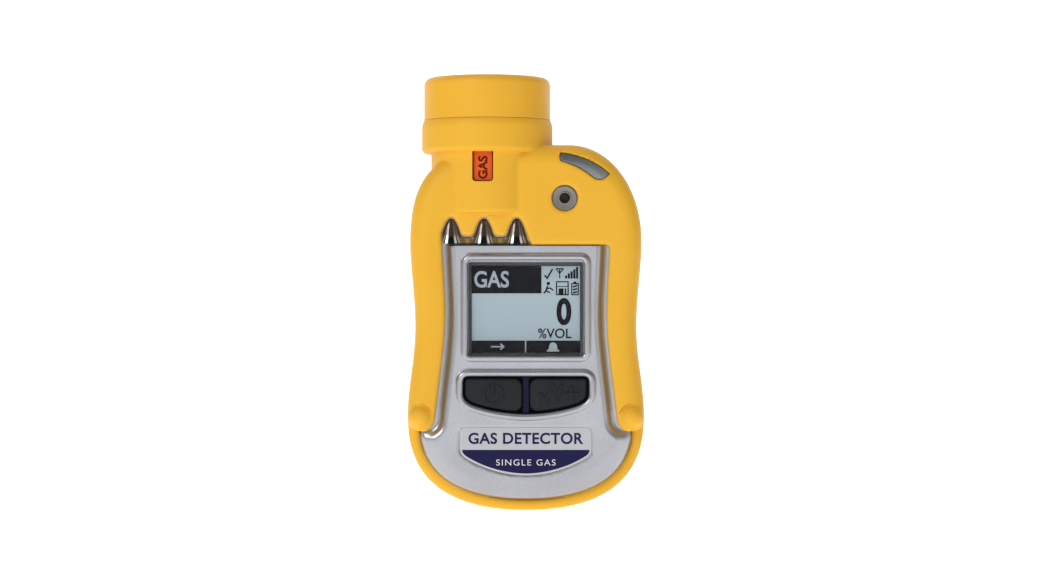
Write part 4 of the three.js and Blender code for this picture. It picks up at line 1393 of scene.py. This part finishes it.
def cap_field(x, y, z):
    """Distance to the cap: a rounded drum, dished on top, hollow below, with its inlets."""
    r = head_radius(x, y)
    drum = rounded_solid(r - CAP_R, z - CAP_TOP, 2.0)
    solid = rounded_solid(drum, CAP_FOOT - z, 0.1)
    dish = rounded_solid(r - 9.1, CAP_TOP - 0.6 - z, 0.4)
    solid = cut(solid, dish, 0.5)
    bore = rounded_solid(r - CAP_BORE_R, z - (CAP_TOP - 2.1), 0.5)
    solid = cut(solid, bore, 0.2)
    ridge = thread(x, y, z, CAP_BORE_R + 0.3, CAP_BORE_R - 0.9, THREAD_Z + 0.5 * THREAD_PITCH, 1)
    solid = united(solid, ridge, 0.15)
    for i in range(7):
        reach = INLET_RING_R if i else 0
        angle = i * math.pi / 3
        across = x - HEAD_X - reach * math.cos(angle)
        solid = cut(solid, np.hypot(across, y - reach * math.sin(angle)) - INLET_R, 0.35)
    return solid


cap_yellow = moulded(
    "cap_yellow",
    (0.83, 0.445, 0.034),
    (0.79, 0.405, 0.028),
    (0.34, 0.44),
    2600,
    0.14,
    Specular_IOR_Level=0.22,
)
add_piece(
    "screw_cap",
    *contoured(cap_field, cap_low, cap_high, 0.3),
    cap_yellow,
    body="cap",
    replaced=["sensor_cap"],
)


# ---- Rear case
# The back half of the case. Its flat pad stands in the boot's rear window.
PAD_Y = 12.8
clip_low, clip_high = extent("clip_base")
CLIP_AXIS_Y, CLIP_AXIS_Z, CLIP_SCREW_Z = 16.8, 62.0, 70.0
contact_places = [
    (0.5 * (low[0] + high[0]), 0.5 * (low[2] + high[2]))
    for low, high in (extent(f"charge_contact_{i}") for i in (1, 2, 3))
]


def rear_case_field(x, y, z):
    """Distance to the rear case: a rounded box with its sides let down round the pad."""
    edge = body_edge(x, z) + CASE_INSET
    full = rounded_solid(edge, y - PAD_Y, CASE_ROUND)
    pad = rounded_solid(rounded_box(x, z, (-20.4, 9.6), (20.4, 82.8), 5.6), y - PAD_Y, 0.7)
    solid = united(np.maximum(full, y - CASE_SIDE_Y), np.maximum(full, pad), 0.5)
    hollow = rounded_solid(edge + CASE_WALL, np.abs(y) - CASE_SIDE_Y + CASE_WALL, 2.0)
    solid = cut(solid, hollow)
    for place in screw_places:
        solid = united(solid, rod_y(x, y, z, place, 2.9, SPLIT, 9.8))
        solid = cut(solid, rod_y(x, y, z, place, 1.5, -1, 16))
        solid = cut(solid, rod_y(x, y, z, place, 2.7, 11.4, 20), 0.3)
    solid = cut(solid, rod_y(x, y, z, (0, CLIP_SCREW_Z), 1.6, 0, 16))
    for place in contact_places:
        solid = cut(solid, rod_y(x, y, z, place, 1.8, 0, 16), 0.3)
    return cut(np.maximum(solid, SPLIT - y), neck_room(x, y, z))


rear_low, rear_high = extent("rear_case")
add_piece(
    "case_back",
    *contoured(rear_case_field, rear_low, rear_high, 0.45),
    silver,
    replaced=["rear_case"],
)
label_film = moulded("label_film", (0.62, 0.63, 0.65), (0.58, 0.59, 0.61), (0.3, 0.4), 2500, 0.06)
label_low, label_high = extent("rear_label")
sheet = box_outline(label_low[0], label_high[0], label_low[2], label_high[2], 1)
add_piece(
    "rear_label_film",
    *slab(sheet, label_high[1], label_low[1], 0.05),
    label_film,
    replaced=["rear_label"],
    merge=True,
)


def printed_behind(words, height, centre):
    """Thin letters on the rear label, which read from behind."""
    places, faces = lettering(words, height, (-centre[0], centre[1]), 0.04, -0.02, spacing=1.1)
    flip = np.array([-1, 1, 1])
    return places * flip + (0, label_high[1], 0), faces


label_ink = moulded("label_ink", (0.02, 0.02, 0.022), (0.03, 0.03, 0.032), (0.4, 0.5), 2500, 0.05)
label_lines = [
    printed_behind("GAS DETECTOR", 2.2, (0, 32.2)),
    printed_behind("3.7 V", 1.7, (0, 28.2)),
    slab(box_outline(-12, 12, 25.4, 25.7, 0.1), label_high[1] + 0.04, label_high[1] - 0.02, 0.01),
    slab(box_outline(-12, 12, 23.2, 23.5, 0.1), label_high[1] + 0.04, label_high[1] - 0.02, 0.01),
]
add_piece("rear_label_print", *joined(label_lines), label_ink, slot="label_film", merge=True)


# ---- Screws
# Plated steel screws with rounded heads and hexagon sockets: four in the case, one in the clip.
def socket_screw(place, under, head_r, head_h, shank_r, length, socket):
    """Field of a screw along y, its head's underside at y = under."""
    flats = [i * math.pi / 3 for i in range(3)]

    def field(x, y, z):
        """Distance to the domed head, less its hexagon, and to the shank with its thread."""
        u, v, w = x - place[0], z - place[1], y - under
        r = np.hypot(u, v)
        crown = 0.04 * r * r
        head = rounded_solid(r - head_r, np.maximum(w + crown - head_h, -w), 0.25)
        sides = [np.abs(u * math.cos(angle) + v * math.sin(angle)) for angle in flats]
        hexagon = np.maximum.reduce(sides)
        head = cut(head, np.maximum(hexagon - socket, 0.45 * head_h - w), 0.08)
        turn = np.mod(w - np.arctan2(v, u) / (2 * math.pi) * 0.8, 0.8) / 0.8
        ridge = 0.12 * np.abs(2 * turn - 1) * (w < -1.5)
        shank = np.maximum(r - shank_r + ridge, np.maximum(w - 0.2, -length - w))
        return united(head, shank, 0.1)

    return field


screw_steel = moulded(
    "screw_steel", (0.60, 0.61, 0.63), (0.50, 0.51, 0.53), (0.2, 0.32), 4000, 0.12, metallic=1.0
)
for i, place in enumerate(screw_places, 1):
    low, high = extent(f"case_screw_{i}")
    field = socket_screw(place, high[1] - 1.1, 2.4, 1.1, 1.3, 17.9, 1.05)
    points = contoured(field, low, high, 0.16)
    add_piece(f"case_screw_body_{i}", *points, screw_steel, replaced=[f"case_screw_{i}"])
low, high = extent("clip_screw")
field = socket_screw((0, CLIP_SCREW_Z), high[1] - 0.8, 2.6, 0.8, 1.3, 6.0, 1.1)
add_piece(
    "clip_screw_body", *contoured(field, low, high, 0.16), screw_steel, replaced=["clip_screw"]
)


# ---- Charging contacts
# Three turned pins with domed, gold-plated ends.
gold = moulded(
    "gold_plate", (0.83, 0.58, 0.22), (0.76, 0.52, 0.19), (0.18, 0.3), 4000, 0.08, metallic=1.0
)
for i, (x, z) in enumerate(contact_places, 1):
    low, high = extent(f"charge_contact_{i}")
    section = rounded(
        [
            (0.001, low[1]),
            (1.45, low[1]),
            (1.5, high[1] - 0.35),
            (0.9, high[1]),
            (0.001, high[1]),
        ],
        0.3,
    )
    add_piece(
        f"contact_pin_{i}",
        *turned(section, (x, 0, z), count=48),
        gold,
        replaced=[f"charge_contact_{i}"],
        merge=True,
    )


# ---- Clip
# A spring-loaded alligator clip of nickel-plated sheet steel. The lever turns on a pin between
# folded ears, against a torsion spring wound on the pin.
SHEET = 1.0
PIN_HOLE_R = 1.3
RIB_Y, RIB_SLOPE = 4.0, 0.147  # of the thumb pad's ribs, from where the pad starts
LEVER_PATH = [
    (-1.75, -23.1),
    (-1.95, -22.1),
    (3.0, -16.6),
    (3.5, -15.6),
    (3.5, 3.2),
    (3.6, 4.2),
    (5.3, 15.9),
]


def ears_field(x, y, z, x0, x1, foot):
    """Distance to a pair of ears round the pin, reaching to depth y = foot, with their holes."""
    place_y, place_z = y - CLIP_AXIS_Y, z - CLIP_AXIS_Z
    across = np.hypot(place_y, place_z) - 2.3
    web = np.maximum(np.abs(place_z) - 2.3, np.abs(place_y - 0.5 * foot) - 0.5 * abs(foot))
    side = np.abs(np.abs(x) - 0.5 * (x0 + x1)) - 0.5 * (x1 - x0)
    ear = rounded_solid(united(across, web), side, 0.2)
    return cut(ear, np.hypot(place_y, place_z) - PIN_HOLE_R)


def clip_base_field(x, y, z):
    """Distance to the base: a sheet with rounded corners, two pressed ribs, and two ears."""
    outline = rounded_box(x, z, clip_low[[0, 2]], clip_high[[0, 2]], 2)
    low, high = clip_low[1], clip_low[1] + SHEET
    sheet = rounded_solid(outline, np.abs(y - 0.5 * (low + high)) - 0.5 * SHEET, 0.2)
    rib = capsule(np.abs(x), z, (4.2, 44), (4.2, 56), 0.9)
    bead = np.hypot(rib + 0.9, 1.3 * (y - high)) - 0.75
    sheet = united(sheet, np.maximum(bead, low + 0.2 - y), 0.3)
    solid = united(sheet, ears_field(x, y, z, 7, 8, high - CLIP_AXIS_Y - 0.5), 0.3)
    return cut(solid, np.hypot(x, z - CLIP_SCREW_Z) - 1.8)


def lever_field(x, y, z):
    """Distance to the lever: a bent sheet with a jaw below and a ribbed thumb pad above."""
    place_y, place_z = y - CLIP_AXIS_Y, z - CLIP_AXIS_Z
    bend = np.minimum.reduce(
        [capsule(place_y, place_z, a, b, 0.0) for a, b in zip(LEVER_PATH, LEVER_PATH[1:])]
    )
    outline = rounded_box(x, place_z, (-6.4, -23.6), (6.4, 16.4), 1.4)
    sheet = rounded_solid(outline, bend - 0.5 * SHEET + 0.03, 0.2)
    for rib_z in (9.0, 11.2, 13.4):
        rib_y = RIB_Y + RIB_SLOPE * (rib_z - LEVER_PATH[-2][1])
        rib = np.hypot(place_y - rib_y, place_z - rib_z) - 0.55
        sheet = united(sheet, rounded_solid(np.abs(x) - 4.6, rib, 0.3), 0.25)
    solid = united(sheet, ears_field(x, y, z, 5.4, 6.4, 3.5), 0.3)
    return cut(solid, np.hypot(place_y, place_z) - PIN_HOLE_R)


def plated_steel():
    """Nickel-plated sheet with fine drawing marks along its length."""
    steel = moulded(
        "plated_steel", (0.62, 0.61, 0.58), (0.54, 0.53, 0.50), (0.18, 0.3), 3000, 0.1, metallic=1.0
    )
    nodes, links = steel.node_tree.nodes, steel.node_tree.links
    place, stretch = nodes.new("ShaderNodeTexCoord"), nodes.new("ShaderNodeMapping")
    marks, gloss = nodes.new("ShaderNodeTexNoise"), nodes.new("ShaderNodeMapRange")
    stretch.inputs["Scale"].default_value = (1, 1, 0.03)
    marks.inputs["Scale"].default_value = 6000
    gloss.inputs["To Min"].default_value = 0.16
    gloss.inputs["To Max"].default_value = 0.40
    links.new(place.outputs["Object"], stretch.inputs["Vector"])
    links.new(stretch.outputs["Vector"], marks.inputs["Vector"])
    links.new(marks.outputs["Fac"], gloss.inputs["Value"])
    links.new(gloss.outputs["Result"], nodes["Principled BSDF"].inputs["Roughness"])
    return steel


clip_steel = plated_steel()
add_piece(
    "clip_base_sheet",
    *contoured(clip_base_field, clip_low, clip_high, 0.26),
    clip_steel,
    replaced=["clip_base"],
)
lever_low, lever_high = extent("clip_lever")
add_piece(
    "clip_lever_sheet",
    *contoured(lever_field, lever_low, lever_high, 0.26),
    clip_steel,
    body="clip_arm",
    replaced=["clip_lever"],
)
pin_section = rounded(
    [
        (0.001, -9.1),
        (1.5, -9.1),
        (1.7, -8.4),
        (1.0, -8.3),
        (1.0, 8.3),
        (1.7, 8.4),
        (1.5, 9.1),
        (0.001, 9.1),
    ],
    0.25,
)
add_piece(
    "clip_pin_rivet",
    *turned(pin_section, (0, CLIP_AXIS_Y, CLIP_AXIS_Z), along="x", count=48),
    screw_steel,
    replaced=["clip_pin"],
    merge=True,
)


def tube(path, radius, sides=16):
    """A round bar along a path, with flat ends, framed by the path's tangents."""
    ahead = np.gradient(path, axis=0)
    ahead /= np.linalg.norm(ahead, axis=1, keepdims=True)
    side = np.cross(ahead[0], (1.0, 0.02, 0.03))
    frames = []
    for direction in ahead:
        side = side - direction * side.dot(direction)
        side /= np.linalg.norm(side)
        frames.append(side)
    side = np.stack(frames)
    other = np.cross(ahead, side)
    angle = np.linspace(0, 2 * math.pi, sides, endpoint=False)[None, :, None]
    round_path = np.cos(angle) * side[:, None] + np.sin(angle) * other[:, None]
    rings = path[:, None] + radius * round_path
    faces = [list(face) for face in strip_faces(len(path), sides, closed=True)]
    faces.append(list(range(sides))[::-1])
    faces.append(list(range((len(path) - 1) * sides, len(path) * sides)))
    return rings.reshape(-1, 3), faces


SPRING_END = 4.0  # the coil's ends, left and right of the middle


def spring_path():
    """The spring's wire: a leg on the base, four and a half turns, a leg under the pad."""
    turns, radius, leg = 4.5, 1.95, 7.8
    down = np.linspace(1, 0, 12, endpoint=False)
    angle = math.pi + 2 * math.pi * np.linspace(0, turns, 150)
    out = np.linspace(0, 1, 13)[1:]
    along = SPRING_END * (2 * (angle - math.pi) / (2 * math.pi * turns) - 1)
    coil = [along, radius * np.cos(angle), radius * np.sin(angle)]
    first = [np.full_like(down, -SPRING_END), np.full_like(down, -radius), leg * down]
    last = [np.full_like(out, SPRING_END), radius + 0.9 * out**2, leg * out]
    points = np.concatenate([np.stack(part, axis=1) for part in (first, coil, last)])
    return points + (0, CLIP_AXIS_Y, CLIP_AXIS_Z)


spring_steel = moulded(
    "spring_steel", (0.50, 0.50, 0.50), (0.40, 0.40, 0.40), (0.2, 0.34), 4000, 0.1, metallic=1.0
)
spring = add_piece(
    "clip_spring_wire",
    *tube(spring_path(), 0.4),
    spring_steel,
    body=None,
    replaced=["clip_spring"],
    merge=True,
)
axis_y, axis_z = (CLIP_AXIS_Y + MIDDLE_Y) * MM, CLIP_AXIS_Z * MM
spring_ends = [(x * MM, axis_y, axis_z) for x in (-SPRING_END, SPRING_END)]
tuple(spring_ends[0])
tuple(spring_ends[1])
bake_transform(spring)


# ---- Inside the case
# The boards, battery, sensor cell, seals, switches and motor, seen only when it is opened. The
# black frame between the keys and the membrane behind the sounder's ring show from outside.
def crossed(name, colour, second, scale, roughness, metallic=0.0, strength=0.2):
    """A material with a square weave or print: brick cells of the given size in metres."""
    material = moulded(name, colour, second, roughness, 2500, strength, metallic=metallic)
    nodes, links = material.node_tree.nodes, material.node_tree.links
    place, cells = nodes.new("ShaderNodeTexCoord"), nodes.new("ShaderNodeTexBrick")
    turn = nodes.new("ShaderNodeMapping")
    turn.inputs["Rotation"].default_value = (math.pi / 2, 0, 0)
    cells.offset = 0.5
    cells.inputs["Color1"].default_value = (*colour, 1)
    cells.inputs["Color2"].default_value = (*colour, 1)
    cells.inputs["Mortar"].default_value = (*second, 1)
    cells.inputs["Scale"].default_value = 1 / scale
    cells.inputs["Mortar Size"].default_value = 0.06
    links.new(place.outputs["Object"], turn.inputs["Vector"])
    links.new(turn.outputs["Vector"], cells.inputs["Vector"])
    links.new(cells.outputs["Color"], nodes["Principled BSDF"].inputs["Base Color"])
    return material


# Each slot's two colours, the limits of its roughness, and the grain's fineness and depth.
plain = {
    "seal_rubber": ((0.02, 0.02, 0.022), (0.035, 0.035, 0.037), (0.6, 0.75), 3500, 0.3),
    "stem_plastic": ((0.72, 0.68, 0.58), (0.66, 0.62, 0.52), (0.4, 0.5), 3000, 0.1),
    "white_plastic": ((0.75, 0.75, 0.72), (0.68, 0.68, 0.65), (0.35, 0.45), 3000, 0.1),
    "led_red": ((0.55, 0.02, 0.012), (0.45, 0.015, 0.01), (0.08, 0.16), 1500, 0.05),
    "cell_plastic": ((0.66, 0.63, 0.55), (0.58, 0.55, 0.47), (0.35, 0.5), 2600, 0.15),
    "flex_film": ((0.55, 0.22, 0.04), (0.48, 0.18, 0.03), (0.25, 0.35), 2500, 0.1),
    "battery_wrap": ((0.03, 0.08, 0.32), (0.025, 0.07, 0.27), (0.2, 0.3), 1500, 0.2),
    "ceramic": ((0.72, 0.60, 0.36), (0.64, 0.53, 0.31), (0.4, 0.55), 3500, 0.2),
}
inner = {slot: moulded(slot, *finish) for slot, finish in plain.items()}
inner["can_steel"] = screw_steel
inner["gold_pin"] = gold
inner["board"] = crossed(
    "circuit_board", (0.012, 0.10, 0.04), (0.03, 0.22, 0.08), 0.0025, (0.3, 0.42)
)
inner["membrane"] = crossed(
    "woven_membrane", (0.05, 0.035, 0.025), (0.12, 0.10, 0.08), 0.0003, (0.5, 0.7)
)
inner["filter_felt"] = crossed(
    "filter_felt", (0.78, 0.78, 0.75), (0.6, 0.6, 0.57), 0.0004, (0.8, 0.9)
)
inner["black_plastic"] = moulded(
    "black_plastic",
    (0.006, 0.006, 0.03),
    (0.01, 0.01, 0.04),
    (0.45, 0.6),
    3000,
    0.25,
    Specular_IOR_Level=0.15,
)
inner["weight_metal"] = moulded(
    "sintered_weight", (0.27, 0.27, 0.28), (0.2, 0.2, 0.21), (0.35, 0.5), 5000, 0.4, metallic=1.0
)
for part in frame["record"]["subparts"]:
    if part["material_slot"] in inner:
        finish_node(part["node"], inner[part["material_slot"]])
